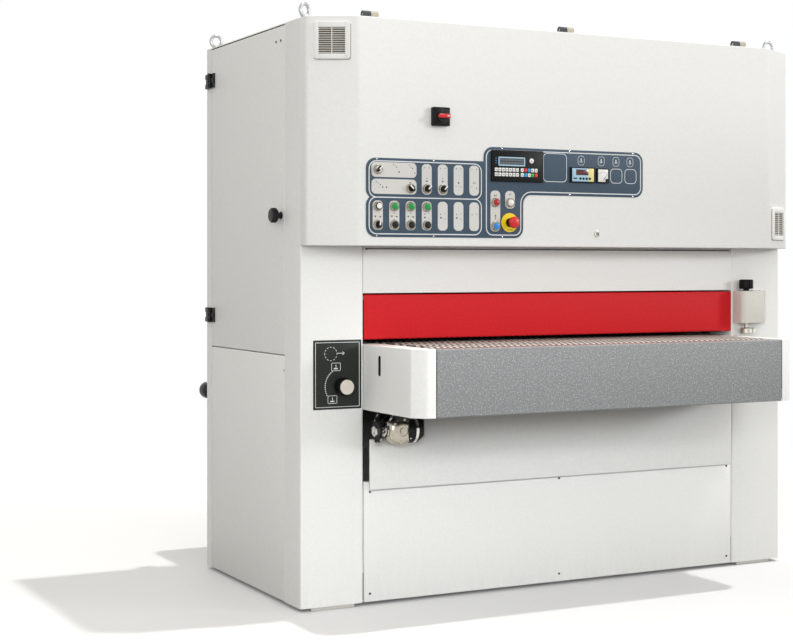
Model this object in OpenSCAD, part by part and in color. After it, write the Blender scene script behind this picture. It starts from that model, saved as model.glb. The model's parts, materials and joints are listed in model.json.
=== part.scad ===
// Wide belt sander: a through-feed machine with one sanding head above a lifting conveyor table.
// Millimetres, +Z up, -Y is the infeed front. The origin is the middle of the anchor bolts, on the floor.

/* [Cabinet] */
// Width of the sheet cabinet
body_w = 2010; // [1950:10:2200]
// Depth of the sheet cabinet
body_d = 876; // [860:4:1000]
// Height of the sheet cabinet above its feet
body_h = 1938; // [1900:2:2050]
// Thickness of the cabinet sheet
sheet = 4; // [3:0.5:5]
// Width of each corner post seen from the front
column_w = 229; // [215:1:240]
// Depth of the front posts along the side
front_strip = 129; // [115:1:150]
// Depth of the rear posts along the side
rear_strip = 53; // [48:1:75]
// Gap between neighbouring panels
panel_gap = 3; // [1:0.5:4]
// Top of the lower front panel above the floor
lower_panel_top = 414; // [380:1:416]
// Height of the panel between hood and guard
fascia_h = 144; // [120:1:160]
// Gap between that panel and the hood above it
hood_gap = 13; // [8:1:20]
// Corner radius of that panel
fascia_r = 20; // [5:1:40]

/* [Base] */
// Thickness of the foot plates
foot_h = 12; // [10:1:15]
// Side of the square foot plates
foot_w = 158; // [140:1:170]
// Distance from the cabinet side to a foot plate
foot_inset = 42; // [38:1:50]
// Diameter of the anchor bolt holes
anchor_d = 18; // [14:1:20]
// Distance of the anchor holes from the front and rear faces
anchor_back = 128; // [110:1:140]
// Height, width and wall of the base channels
beam_h = 100; // [90:1:110]
beam_w = 80; // [70:1:90]
beam_t = 6; // [4:1:8]
// Thickness of the cross plates that carry motor and jacks
cross_t = 18; // [12:1:25]

/* [Lifting eyes] */
// Middle radius and bar radius of each eye
eye_r = 21; // [18:1:26]
eye_bar = 6; // [5:0.5:7]
// Distance of the eyes from the cabinet edges
eye_inset = 28; // [22:1:40]

/* [Side door] */
// Bottom edge of the side door above the floor
door_bottom = 838; // [800:1:900]
// Depth of the door's folded edge
door_fold = 20; // [12:1:28]
// Swing axis of the door, outside the cabinet side
door_axis_out = 9; // [9:1:14]
// Distance of the two door hinges from the door's ends
door_hinge_in = 116; // [60:1:200]
// Length of a door hinge
door_hinge_len = 54; // [40:1:70]
// Height of the latch knob above the door's bottom edge
latch_up = 468; // [300:1:560]
// Distance of the latch knob from the door's front edge
latch_in = 27; // [26:1:60]
// Diameter of the latch knob, and how far it stands out
latch_d = 48; // [40:1:55]
latch_out = 40; // [34:1:50]

/* [Hood] */
// How far the hood stands out from the front posts
hood_depth = 121.5; // [115:0.5:140]
// Straight part of the hood's side
hood_side = 44; // [35:1:55]
// Width of the bevelled hood ends
hood_bevel_x = 151; // [140:1:165]
// Thickness of the hood sheet
hood_t = 3; // [2:0.5:4]
// Gap of the hood to the posts
hood_seal = 0.5; // [0.2:0.1:0.9]
// Height of the hood's swing axis above the roof
hood_axis_up = 27; // [24:1:34]
// Distance of the outer hood hinges from the cabinet sides
hood_hinge_in = 225; // [180:1:300]
// Width of a hood hinge knuckle
knuckle_w = 28; // [20:1:36]
// Louvre opening and its frame, both square
louvre_w = 84; // [70:1:90]
louvre_frame = 120; // [108:1:126]
// Middle of the left louvre under the roof, and of the right one above the hood's bottom
louvre_left_down = 82; // [70:1:200]
louvre_right_up = 92; // [70:1:200]
// Place of the hood's cam lock, from the panel's leg and above the hood's bottom
lock_in = 306; // [100:1:400]
lock_up = 46; // [30:1:80]

/* [Control panel] */
// Thickness of the control panel
panel_t = 3; // [2:0.5:5]
// Distance of the panel from the cabinet's left side and from the hood's bottom
panel_in = 179.5; // [170:0.5:240]
panel_up = 29; // [20:1:40]
// Width of the left block, of the leg and of the whole right arm
panel_block_w = 443; // [437:1:470]
panel_leg_w = 156; // [148:1:180]
panel_arm_w = 657; // [640:1:700]
// Heights of waist, inner corner, left top and right top above the panel's bottom
panel_waist_h = 130; // [127:1:133]
panel_arm_h = 153; // [143:1:160]
panel_block_h = 259; // [250:1:270]
panel_h = 309; // [302:1:330]
// Corner radius of the panel
panel_r = 24; // [12:1:30]
// First column of controls from the panel's left edge, and the step between columns
col_in = 41.5; // [38:0.5:46]
col_step = 60.5; // [56:0.5:63]
// First row of controls above the panel's bottom, and the step between rows
row_in = 40.5; // [36:0.5:44]
row_step = 60.3; // [57:0.1:62]
// Column of the lamps from the panel's step, and the step to the second lamp
lamp_in = 44.5; // [38:0.5:50]
lamp_step = 58; // [54:0.5:62]
// Height of the lamps above the panel's bottom
lamp_up = 121; // [112:1:128]
// Place of the emergency stop from the panel's step and bottom
estop_in = 100.5; // [98:0.5:106]
estop_up = 53; // [48:1:58]
// Radius of the holes for all controls
control_r = 12; // [11:0.5:13]
// How far buttons stand out
button_out = 12; // [10:0.5:16]
// Side of the main isolator, and its place from the panel's left edge
isolator_w = 67; // [60:1:75]
isolator_in = 271; // [150:1:400]

/* [Guard] */
// Height of the red infeed guard, and its gap above the belt
guard_h = 150; // [130:1:160]
guard_gap = 14; // [11:1:24]
// Gap between the guard and the panel above it
guard_panel_gap = 5; // [3:1:8]
// Thickness of the guard sheet
guard_t = 5; // [4:0.5:7]
// Radius of the guard's hinge tube and of its end pins
guard_tube_r = 8; // [7:0.5:10]
guard_pin_r = 5; // [4:0.5:6]

/* [Table] */
// Height of the conveyor belt's top above the floor
pass_line = 876; // [870:1:877]
// Overhang of the table beyond the front and rear posts
table_out = 371; // [350:1:420]
// Gap between the table sides and the posts
table_clear = 4.5; // [3:0.5:8]
// Bottom edge of the table covers
table_bottom = 656; // [645:1:665]
// Bevel of the table's corners, and the width of the end caps
table_bevel = 40; // [30:1:45]
cap_w = 70; // [66:1:72]
// Width and length of the slots in the end caps, and their distance from the top
slot_w = 17; // [12:1:24]
slot_len = 67; // [40:1:80]
slot_drop = 32; // [24:1:50]
// Thickness of the table covers
cover_t = 3; // [2:0.5:4]
// Distance of the belt's edges from the posts, and its thickness
belt_in = 96; // [92:1:110]
belt_t = 4; // [3:0.5:6]
// Radius of the conveyor rollers and of their shafts
roller_r = 60; // [54:0.5:62]
roller_shaft_r = 17.5; // [15:0.5:20]
// Distance of the belt's end from the table's front
belt_back = 36; // [32:1:50]
// Distance of the table frame's side plates from the table's sides, and their thickness
side_plate_in = 71.5; // [68:0.5:74]
side_plate_t = 15; // [10:1:18]
// Depth of the fascias' top lips, which reach over the ends of the belt
fascia_lip = 70; // [40:1:72]
// Gap of the aprons before and behind the posts, and beside them
apron_out = 10; // [8:1:14]
apron_left = 18; // [12:1:40]
apron_right = 11; // [8:1:30]
// Bottom edge of the aprons, and depth of the rails that carry them
apron_bottom = 388; // [380:1:400]
apron_rail = 20; // [12:1:30]
// Width of the apron's cut-out round the gearmotor, and its edge below the gearmotor's axis
apron_cut_w = 224; // [216:1:240]
apron_cut_down = 32; // [20:1:50]

/* [Feed drive] */
// Axis of the gearmotor in front of the posts and below the table covers
feed_out = 58; // [57:1:62]
feed_down = 67; // [64:1:90]
// Radius of its round gear case, which faces the front, and the case's depth
feed_r = 50; // [46:0.5:52]
feed_case_d = 78; // [60:1:84]
// Distance of its shaft collar from the table's side, and the collar's radius
feed_in = 45.5; // [43:0.5:50]
feed_collar_r = 27; // [22:0.5:32]
// Lengths of its motor, from the middle of the case, and of the motor's end cap
feed_motor_l = 68; // [60:1:90]
feed_cap_l = 12; // [8:1:16]
// Width and depth of the lug that hangs it from the table
feed_lug_w = 70; // [50:1:80]
feed_lug_d = 50; // [40:1:56]
// Radius of its shaft and of both sprockets
feed_shaft_r = 14; // [10:0.5:16]
feed_sprocket_r = 34; // [28:0.5:36]

/* [Table jacks] */
// Place of the two jack screws, outside the passage and in front of the middle
jack_out = 59; // [54:1:62]
jack_y = -170; // [-180:1:-160]
// Radius of the screws
jack_r = 17.5; // [14:0.5:20]
// Radius of the jack sprockets
jack_sprocket_r = 40; // [34:0.5:46]

// Radius and height of the lift motor
lift_motor_r = 55; // [45:1:60]
lift_motor_h = 190; // [150:1:220]

/* [Sanding head] */
// Radius of contact and tension roller
head_r = 70; // [60:1:75]
// Thickness of the abrasive belt
abrasive_t = 2; // [1:0.5:3]
// Distance of the tension roller's axis under the roof
tension_down = 186; // [150:1:220]
// Height of the contact roller's underside above the belt
work_gap = 14; // [12:0.5:20]
// Radius of the contact roller's shaft
contact_shaft_r = 25; // [20:0.5:30]
// Radius of the pressure rollers and their distance from the middle
press_r = 30; // [25:0.5:34]
press_y = 150; // [140:1:160]
// Travel of the tension roller when the belt is let go
tension_travel = 20; // [10:1:25]
// Radius of the tension rod
tension_rod_r = 20; // [15:0.5:24]
// Height and width of the head beams
head_beam_h = 120; // [100:1:126]
head_beam_w = 60; // [50:1:65]

/* [Main drive] */
// Length of the main motor
motor_len = 340; // [300:1:360]
// Axis of the main motor, in front of the rear base beam and above the floor
motor_in = 134; // [131:1:150]
motor_h = 330; // [320:1:345]
// Radius of the motor housing and of its shaft
motor_r = 130; // [110:1:140]
motor_shaft_r = 19; // [16:0.5:22]
// Radius of both belt pulleys
pulley_r = 85; // [75:0.5:88]
// Thickness of the drive belts
drive_belt_t = 5; // [4:0.5:8]

/* [Dust outlet] */
// Outer radius of the dust spigot, and how far it stands out
spigot_r = 80; // [60:1:90]
spigot_out = 90; // [60:1:120]
// Height of the spigot above the belt
spigot_up = 604; // [450:1:640]
// Gap between the outfeed pressure roller and the suction box
dust_gap = 24; // [15:1:40]

/* [Gauge and knobs] */
// Width of the gauge housing's face, and of its bevel
gauge_w = 101; // [90:1:105]
gauge_bevel = 46; // [35:1:48]
// Depth and height of the gauge housing, and its place above the belt
gauge_d = 61; // [56:1:70]
gauge_h = 121; // [110:1:140]
gauge_up = 45; // [45:1:60]
// Radius of its rounded edge
gauge_r = 18; // [8:1:24]
// Place of the speed knob on the left post, from the passage and above the floor
speed_in = 79; // [50:1:150]
speed_h = 737; // [700:1:760]
// Diameter and depth of the speed knob
speed_d = 55; // [45:1:65]
speed_out = 44; // [36:1:55]
// Place of the regulator knob on the rear post
regulator_in = 36; // [34:1:60]
regulator_h = 662; // [600:1:700]
regulator_d = 63; // [50:1:66]
regulator_out = 100; // [70:1:110]

/* [Fits] */
// Radial clearance of shafts in their bearings
run_fit = 0.05; // [0.02:0.01:0.09]
// Clearance of round faces that pass each other
pass_fit = 0.3; // [0.2:0.05:0.5]
// Gap left at the butt joints of welded bars and plates
seam = 0.2; // [0.1:0.1:0.4]

/* [Hidden] */
$fn = 64;
eps = 1;
half_w = body_w / 2;
front_y = -body_d / 2;
rear_y = body_d / 2;
roof_z = foot_h + body_h;
roof_under = roof_z - sheet;
aperture = half_w - column_w;
guard_bottom = pass_line + guard_gap;
guard_top = guard_bottom + guard_h;
fascia_bottom = guard_top + guard_panel_gap;
fascia_top = fascia_bottom + fascia_h;
hood_bottom = fascia_top + hood_gap;
bar_y = body_d / 2 - sheet - beam_w;
motor_y = bar_y - motor_in;
cross_z = foot_h + beam_h - cross_t;
floor_top = foot_h + beam_h;
foot_x = half_w - foot_inset - foot_w / 2;
foot_y = body_d / 2 - foot_w / 2 - 6;
anchor_y = body_d / 2 - anchor_back;
hood_bevel_y = hood_depth - hood_side;
bevel_a = atan2(hood_bevel_y, hood_bevel_x);
hood_face = front_y - hood_depth;
hood_axis_z = roof_z + hood_axis_up;
panel_face = hood_face - panel_t;
hood_hinge_x = [-half_w + hood_hinge_in, 0, half_w - hood_hinge_in];
hood_pin_r = 6;
knuckle_r = 12;
louvre_left_h = roof_z - louvre_left_down;
louvre_right_h = hood_bottom + louvre_right_up;
panel_left = -half_w + panel_in;
panel_step = panel_left + panel_block_w;
panel_leg = panel_step + panel_leg_w;
panel_right = panel_step + panel_arm_w;
panel_low = hood_bottom + panel_up;
panel_waist = panel_low + panel_waist_h;
panel_arm = panel_low + panel_arm_h;
panel_top_left = panel_low + panel_block_h;
panel_top_right = panel_low + panel_h;
lock_x = panel_leg + lock_in;
lock_h = hood_bottom + lock_up;
lock_r = 8;
lamp_x = panel_step + lamp_in;
lamp_h = panel_low + lamp_up;
estop_x = panel_step + estop_in;
estop_h = panel_low + estop_up;
isolator_x = panel_left + isolator_in;
isolator_h = panel_top_left + (roof_z - panel_top_left) * 0.311;
isolator_d = 24;
control_body_r = control_r - pass_fit;
door_front = front_y + front_strip + panel_gap;
door_rear = rear_y - rear_strip - panel_gap;
door_top = roof_under - panel_gap;
door_hinge_low = door_bottom + door_hinge_in;
door_hinge_high = door_top - door_hinge_in;
door_axis_x = -half_w - door_axis_out;
door_axis_y = rear_y - rear_strip - panel_gap / 2;
hinge_r = door_axis_out - eps;
door_pin_r = hinge_r - 3;
latch_y = door_front + latch_in;
latch_h = door_bottom + latch_up;
latch_pin_r = 6;
guard_axis_y = front_y + guard_t + guard_tube_r - 2;
guard_axis_z = guard_top - guard_tube_r - 2;
table_half = aperture - table_clear;
table_front = front_y - table_out;
table_rear = -table_front;
cap_in = table_half - cap_w;
roller_z = pass_line - belt_t - roller_r;
belt_end = table_rear - belt_back;
roller_y = belt_end - belt_t - roller_r;
cover_top = pass_line - 2;
belt_w = 2 * (aperture - belt_in);
side_plate_x = table_half - side_plate_in;
side_plate_out = side_plate_x + side_plate_t;
side_plate_bottom = table_bottom + 44;
side_plate_top = cover_top - cover_t - 3;
bed_top = pass_line - belt_t;
belt_under = roller_z - roller_r - belt_t;
apron_back = front_y - apron_out;
hanger_under = side_plate_bottom - 10;
feed_y = front_y - feed_out;
feed_h = table_bottom - feed_down;
feed_x = -table_half + feed_in;
feed_case_x = feed_x + feed_r + 2;
feed_cap_x = feed_case_x + feed_motor_l;
feed_bore = feed_r - 14;
apron_cut_x = -aperture + apron_cut_w;
apron_cut_h = feed_h - apron_cut_down;
sprocket_x = -table_half + cover_t + 11;
sprocket_w = 10;
chain_t = 5;
abrasive_w = belt_w;
head_z = pass_line + work_gap + abrasive_t + head_r;
tension_z = roof_under - tension_down;
press_z = pass_line + work_gap - 1 + press_r;
press_shaft_r = 10;
tension_shaft_r = 15;
head_plate_in = abrasive_w / 2 + 40;
head_plate_out = head_plate_in + 25;
head_beam_y = rear_y - sheet - head_beam_w;
head_beam_z = fascia_bottom + 15;
tension_bar_h = 40;
tension_bar_z = tension_z - head_r - tension_bar_h - 10;
head_plate_top = head_beam_z + (tension_bar_z - head_beam_z) * 0.414;
tension_cylinder_top = head_plate_top + (tension_bar_z - head_plate_top) * 0.35;
tension_rod_end = head_plate_top + tension_travel;
tension_arm_x = abrasive_w / 2 + 19;
tension_arm_t = 12;
press_lobe = press_shaft_r + 30;
spigot_h = pass_line + spigot_up;
jack_x = aperture + jack_out;
jack_journal_r = jack_r - 5;
jack_plate_w = 70;
arm_y0 = jack_y - 60;
arm_y1 = jack_y + 60;
arm_z0 = side_plate_bottom + 40;
arm_z1 = arm_z0 + 80;
jack_top = pass_line + 4;
pulley_x = aperture + 4;
pulley_w = 60;
motor_x = pulley_x - 40 - motor_len;
motor_bore = 60;
motor_bar_w = 60;
motor_bars = [motor_x + 40, motor_x + motor_len - 60];
gauge_x = aperture + 5.5;
gauge_axis_x = gauge_x + 40;
gauge_axis_y = front_y - gauge_d / 2;
gauge_bottom = pass_line + gauge_up;
gauge_top = gauge_bottom + gauge_h;
gauge_stem_r = 11;
gauge_rod_r = 8;
gauge_rod_in = 64;
gauge_foot_h = 22;
speed_x = -aperture - speed_in;
speed_pin_r = 6;
regulator_pin_r = 8;

// Place of a control by its column and row on the panel
function place(column, row) = [panel_left + col_in + column * col_step, panel_low + row_in + row * row_step];
// Place of every control that is let into the panel
controls = concat(
    [for (i = [1:3]) place(i, 1)],
    [for (i = [1:3]) place(i, 0)],
    [place(0, 1), place(0, 0), place(0, 3)],
    [for (i = [2:4]) place(i, 2)],
    [[lamp_x, place(0, 0).y], [estop_x, estop_h]]);

// Round bars along the three axes
module rod_x(x0, x1, y, z, r) {
    translate([x0, y, z]) rotate([0, 90, 0]) cylinder(h = x1 - x0, r = r);
}
module rod_y(y0, y1, x, z, r) {
    translate([x, y1, z]) rotate([90, 0, 0]) cylinder(h = y1 - y0, r = r);
}
module rod_z(z0, z1, x, y, r) {
    translate([x, y, z0]) cylinder(h = z1 - z0, r = r);
}
// A block between two corners
module block(low, high) {
    translate(low) cube(high - low);
}
// A flat shape in X and Z that stands out to the front of a plane
module on_front(y, depth) {
    translate([0, y, 0]) rotate([90, 0, 0]) linear_extrude(depth) children();
}
// A flat shape in Y and Z that runs along X
module along_x(x0, x1) {
    translate([x0, 0, 0]) rotate([90, 0, 90]) linear_extrude(x1 - x0) children();
}
// A flat rectangle between two corners, with round corners
module rounded(low, high, r) {
    translate([low.x + r, low.y]) square([high.x - low.x - 2 * r, high.y - low.y]);
    translate([low.x, low.y + r]) square([high.x - low.x, high.y - low.y - 2 * r]);
    for (x = [low.x + r, high.x - r], y = [low.y + r, high.y - r]) {
        translate([x, y]) circle(r);
    }
}
// A flat shape with round ends about two points
module stadium(a, b, r) {
    run = b - a;
    translate(a) circle(r);
    translate(b) circle(r);
    translate(a) rotate(atan2(run.y, run.x)) translate([0, -r]) square([norm(run), 2 * r]);
}
// The flat outline of a belt or chain about two wheels
module loop(a, b, r, t) {
    difference() {
        stadium(a, b, r + t);
        stadium(a, b, r);
    }
}
// The same for slanted runs: half rings at both ends and two flat strands a little thinner than the rings
module slanted_loop(a, b, r, t) {
    run = b - a;
    far = norm(run);
    step = t / 8;
    translate(a) rotate(atan2(run.y, run.x)) {
        difference() {
            circle(r + t);
            circle(r);
            translate([0, -r - 2 * t]) square([r + 2 * t, 2 * r + 4 * t]);
        }
        translate([far, 0]) difference() {
            circle(r + t);
            circle(r);
            translate([-r - 2 * t, -r - 2 * t]) square([r + 2 * t, 2 * r + 4 * t]);
        }
        for (side = [r + step, -r - t + step]) {
            translate([-2, side]) square([far + 4, t - 2 * step]);
        }
    }
}
module both_sides() {
    children();
    mirror([1, 0, 0]) children();
}
module front_and_rear() {
    children();
    mirror([0, 1, 0]) children();
}

// Channel beam along X with its open side to +Y
module channel(length) {
    difference() {
        cube([length, beam_w, beam_h]);
        translate([-eps, beam_t, beam_t]) cube([length + 2 * eps, beam_w, beam_h - 2 * beam_t]);
    }
}
module base_frame() color("dimgray") {
    front_and_rear() translate([-half_w + sheet, front_y + sheet, foot_h]) channel(2 * (half_w - sheet));
    inner_y = bar_y - seam;
    both_sides() translate([-half_w + sheet, inner_y, foot_h]) rotate(-90) channel(2 * inner_y);
    both_sides() difference() {
        block([jack_x - jack_plate_w / 2, -inner_y, cross_z],
            [jack_x + jack_plate_w / 2, inner_y, floor_top]);
        rod_z(cross_z - eps, floor_top + eps, jack_x, jack_y, jack_journal_r + run_fit);
    }
    for (x = motor_bars) {
        block([x - motor_bar_w / 2, -inner_y, cross_z], [x + motor_bar_w / 2, inner_y, floor_top]);
    }
    both_sides() front_and_rear() difference() {
        translate([foot_x - foot_w / 2, foot_y - foot_w / 2, 0]) cube([foot_w, foot_w, foot_h - seam]);
        rod_z(-eps, foot_h + eps, foot_x, anchor_y, anchor_d / 2);
    }
}

// Folded post, open to the back, with a notch for the base beams
module post(depth) {
    translate([-half_w, front_y, foot_h]) difference() {
        cube([column_w, depth, roof_under - foot_h]);
        translate([sheet, sheet, -eps]) cube([column_w - 2 * sheet, depth, body_h]);
        translate([sheet, sheet, -eps]) cube([column_w, depth, beam_h + eps]);
    }
}
module front_columns() color("whitesmoke") difference() {
    both_sides() post(front_strip);
    rod_x(-aperture - 3 * sheet, aperture + 3 * sheet, guard_axis_y, guard_axis_z, guard_pin_r + run_fit);
    rod_y(front_y - eps, front_y + sheet + eps, speed_x, speed_h, speed_pin_r + run_fit);
}
module rear_posts() color("whitesmoke") difference() {
    mirror([0, 1, 0]) both_sides() post(rear_strip);
    rod_y(rear_y - sheet - eps, rear_y + eps, -half_w + regulator_in, regulator_h, regulator_pin_r + run_fit);
}

module side_panels() color("whitesmoke") {
    block([-half_w, door_front, foot_h], [-half_w + sheet, door_rear, door_bottom - panel_gap]);
    block([half_w - sheet, door_front, foot_h], [half_w, door_rear, roof_under]);
}
module rear_panels() color("whitesmoke") {
    panel_x = aperture - panel_gap;
    difference() {
        block([-panel_x, rear_y - sheet, guard_bottom + 12], [panel_x, rear_y, roof_under]);
        rod_y(rear_y - sheet - eps, rear_y + eps, 0, spigot_h, spigot_r + pass_fit);
    }
    block([-panel_x, rear_y - sheet, foot_h], [panel_x, rear_y, lower_panel_top]);
}
module roof_panel() color("whitesmoke") difference() {
    block([-half_w, front_y, roof_under], [half_w, rear_y, roof_z]);
    both_sides() front_and_rear() {
        rod_z(roof_under - eps, roof_z + eps, half_w - eye_inset, rear_y - eye_inset, eye_bar + run_fit);
    }
}
module front_panels() color("whitesmoke") {
    panel_x = aperture - panel_gap;
    on_front(front_y + sheet, sheet) {
        rounded([-panel_x, fascia_bottom], [panel_x, fascia_top], fascia_r);
        translate([-panel_x, fascia_bottom]) square([2 * panel_x, fascia_r]);
    }
    block([-panel_x, front_y, foot_h], [panel_x, front_y + sheet, lower_panel_top]);
}
module lifting_eyes() color("silver") both_sides() front_and_rear() {
    translate([half_w - eye_inset, rear_y - eye_inset, roof_z]) {
        translate([0, 0, eye_r + eye_bar + 2]) rotate([90, 0, 0]) {
            rotate_extrude() translate([eye_r, 0]) circle(eye_bar);
        }
        cylinder(h = 7, r = eye_bar * 2.2);
        translate([0, 0, -30]) cylinder(h = 31, r = eye_bar);
    }
}

// Fixed half of a hood hinge, with its pin
module hood_bracket(x) {
    along_x(x + knuckle_w + 0.5, x + 2 * knuckle_w + 0.5) {
        translate([front_y, hood_axis_z]) circle(knuckle_r);
        polygon([[front_y + eps, roof_z], [front_y + 46, roof_z], [front_y + 6, hood_axis_z + 10],
            [front_y - 6, hood_axis_z], [front_y + eps, hood_axis_z - 8]]);
    }
    rod_x(x + 2, x + knuckle_w + eps, front_y, hood_axis_z, hood_pin_r);
}
// Fixed half of a door hinge, with its pin
module door_bracket(z) {
    low = z - door_hinge_len / 2;
    third = door_hinge_len / 3;
    for (k = [0, 2]) {
        rod_z(low + k * third, low + (k + 1) * third, door_axis_x, door_axis_y, hinge_r);
        block([-half_w - hinge_r, door_axis_y, low + k * third],
            [-half_w, rear_y - 4, low + (k + 1) * third]);
    }
    rod_z(low + eps, low + door_hinge_len - eps, door_axis_x, door_axis_y, door_pin_r);
    block([-half_w - 4, door_axis_y + hinge_r + 2, low], [-half_w, rear_y - 4, low + door_hinge_len]);
}
module hinge_brackets() color([0.16, 0.16, 0.16]) {
    for (x = hood_hinge_x) {
        hood_bracket(x);
    }
    for (z = [door_hinge_low, door_hinge_high]) {
        door_bracket(z);
    }
}

// Back plate of the electrical cabinet behind the hood, with rails and switchgear
module electrical_plate() color("gainsboro") {
    plate_y = front_y + 14;
    rail_t = 8;
    low = hood_bottom + 8;
    high = roof_under - 10;
    bay = high - low;
    gear_d = hood_depth * 0.55;
    rail_x = aperture * 0.82;
    pitch = rail_x / 9;
    block([-aperture, plate_y, low], [aperture, plate_y + 3, high]);
    for (k = [0.26, 0.51, 0.76]) {
        block([-rail_x, plate_y - rail_t, low + bay * (k - 0.025)],
            [rail_x, plate_y, low + bay * (k + 0.025)]);
    }
    for (i = [0:9]) {
        x = -rail_x + pitch * (i + 0.2);
        block([x, plate_y - gear_d, low + bay * 0.45],
            [x + pitch * 0.6, plate_y - rail_t + eps, low + bay * 0.57]);
        block([x, plate_y - gear_d, low + bay * 0.70],
            [x + pitch * 0.8, plate_y - rail_t + eps, low + bay * 0.82]);
    }
    block([rail_x * 0.35, plate_y - gear_d, low + bay * 0.15], [rail_x * 0.65, plate_y, low + bay * 0.40]);
    block([rail_x * 0.72, plate_y - gear_d, low + bay * 0.38], [rail_x * 0.98, plate_y, low + bay * 0.68]);
}

// Sanding head: end plates that hold the rollers, beams that join them, and the tension cylinder
module head_frame() color("slategray") {
    plate_y = head_beam_y - seam;
    beam_x = head_plate_in - seam;
    both_sides() {
        block([head_plate_in, -plate_y, head_beam_z], [head_plate_out, plate_y, head_plate_top]);
        difference() {
            block([head_plate_in, -press_y - press_lobe, pass_line + 20],
                [head_plate_out, press_y + press_lobe, head_beam_z - seam]);
            rod_x(head_plate_in - eps, head_plate_out + eps, 0, head_z, contact_shaft_r + run_fit);
            for (y = [-press_y, press_y]) {
                rod_x(head_plate_in - eps, head_plate_out + eps, y, press_z, press_shaft_r + run_fit);
            }
        }
    }
    front_and_rear() block([-aperture, head_beam_y, head_beam_z],
        [aperture, head_beam_y + head_beam_w, head_beam_z + head_beam_h]);
    difference() {
        block([-beam_x, -45, head_plate_top - head_beam_h], [beam_x, 45, head_plate_top - seam]);
        rod_z(head_plate_top - 10, head_plate_top, 0, 0, tension_rod_r + run_fit);
    }
    difference() {
        rod_z(head_plate_top, tension_cylinder_top, 0, 0, tension_rod_r + 18);
        rod_z(head_plate_top - eps, tension_cylinder_top + eps, 0, 0, tension_rod_r + run_fit);
    }
}
module abrasive_belt() color("saddlebrown") {
    along_x(-abrasive_w / 2, abrasive_w / 2) loop([0, head_z], [0, tension_z], head_r, abrasive_t);
}
module contact_roller() color("darkgray") {
    rod_x(-abrasive_w / 2 - 5, abrasive_w / 2 + 5, 0, head_z, head_r - pass_fit);
    rod_x(-head_plate_out - 20, pulley_x + pulley_w + 10, 0, head_z, contact_shaft_r);
    rod_x(pulley_x, pulley_x + pulley_w, 0, head_z, pulley_r - pass_fit);
}
module tension_carriage() color("slategray") {
    arm_x = tension_arm_x;
    arm_out = arm_x + tension_arm_t;
    bar_x = arm_x - seam;
    rod_z(tension_rod_end, tension_bar_z - seam, 0, 0, tension_rod_r);
    block([-bar_x, -head_r / 2, tension_bar_z], [bar_x, head_r / 2, tension_bar_z + tension_bar_h]);
    both_sides() difference() {
        block([arm_x, -tension_shaft_r * 2, tension_bar_z],
            [arm_out, tension_shaft_r * 2, tension_z + tension_shaft_r * 2]);
        rod_x(arm_x - eps, arm_out + eps, 0, tension_z, tension_shaft_r + run_fit);
    }
}
module tension_roller() color("darkgray") {
    rod_x(-abrasive_w / 2 - 10, abrasive_w / 2 + 10, 0, tension_z, head_r - pass_fit);
    rod_x(-tension_arm_x - tension_arm_t, tension_arm_x + tension_arm_t, 0, tension_z, tension_shaft_r);
}
module pressure_roller(y) {
    rod_x(-abrasive_w / 2 - 10, abrasive_w / 2 + 10, y, press_z, press_r);
    rod_x(-head_plate_out + 2, head_plate_out - 2, y, press_z, press_shaft_r);
}
module infeed_pressure_roller() color([0.2, 0.2, 0.2]) pressure_roller(-press_y);
module outfeed_pressure_roller() color([0.2, 0.2, 0.2]) pressure_roller(press_y);

module main_motor() color("steelblue") difference() {
    union() {
        rod_x(motor_x, motor_x + motor_len, motor_y, motor_h, motor_r);
        block([motor_x + 20, motor_y - 100, floor_top], [motor_x + motor_len - 30, motor_y + 100, motor_h]);
        block([motor_x + motor_len * 0.35, motor_y - 60, motor_h],
            [motor_x + motor_len * 0.7, motor_y + 60, motor_h + motor_r + 40]);
    }
    rod_x(motor_x + motor_len - motor_bore, motor_x + motor_len + eps,
        motor_y, motor_h, motor_shaft_r + run_fit);
}
module motor_pulley() color("darkgray") {
    rod_x(motor_x + motor_len - motor_bore + eps, pulley_x + pulley_w + 5, motor_y, motor_h, motor_shaft_r);
    rod_x(pulley_x, pulley_x + pulley_w, motor_y, motor_h, pulley_r - pass_fit);
}
module drive_belts() color([0.15, 0.15, 0.15]) {
    along_x(pulley_x + 2, pulley_x + pulley_w - 2) {
        slanted_loop([0, head_z], [motor_y, motor_h], pulley_r, drive_belt_t);
    }
}

// Suction box behind the contact roller, of flat plates, with the spigot that leaves through the rear panel
module dust_hood() color("silver") {
    plate = 3;
    box_x = abrasive_w / 2 - 20;
    box_y = press_y + press_r + dust_gap;
    box_z = pass_line + 64;
    box_top = spigot_h + spigot_r + 20;
    mouth_top = box_z + 70;
    wall_low = box_z + plate + seam;
    wall_top = box_top - plate - seam;
    wall_x = box_x - plate - seam;
    rear = head_beam_y - plate;
    rear_in = spigot_r + seam;
    block([-box_x, box_y, box_z], [box_x, head_beam_y, box_z + plate]);
    block([-box_x, box_y, box_top - plate], [box_x, head_beam_y, box_top]);
    both_sides() block([box_x - plate, box_y, wall_low], [box_x, head_beam_y, wall_top]);
    block([-wall_x, box_y, mouth_top], [wall_x, box_y + plate, wall_top]);
    both_sides() block([rear_in, rear, wall_low], [wall_x, head_beam_y, wall_top]);
    block([-spigot_r, rear, wall_low], [spigot_r, head_beam_y, spigot_h - rear_in]);
    block([-spigot_r, rear, spigot_h + rear_in], [spigot_r, head_beam_y, wall_top]);
    difference() {
        union() {
            block([-spigot_r, rear, spigot_h - spigot_r], [spigot_r, head_beam_y, spigot_h + spigot_r]);
            rod_y(rear, rear_y + eps, 0, spigot_h, spigot_r - 1);
            rod_y(rear_y, rear_y + spigot_out, 0, spigot_h, spigot_r);
        }
        rod_y(rear - eps, rear_y + spigot_out + eps, 0, spigot_h, spigot_r - 4);
    }
}

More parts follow.
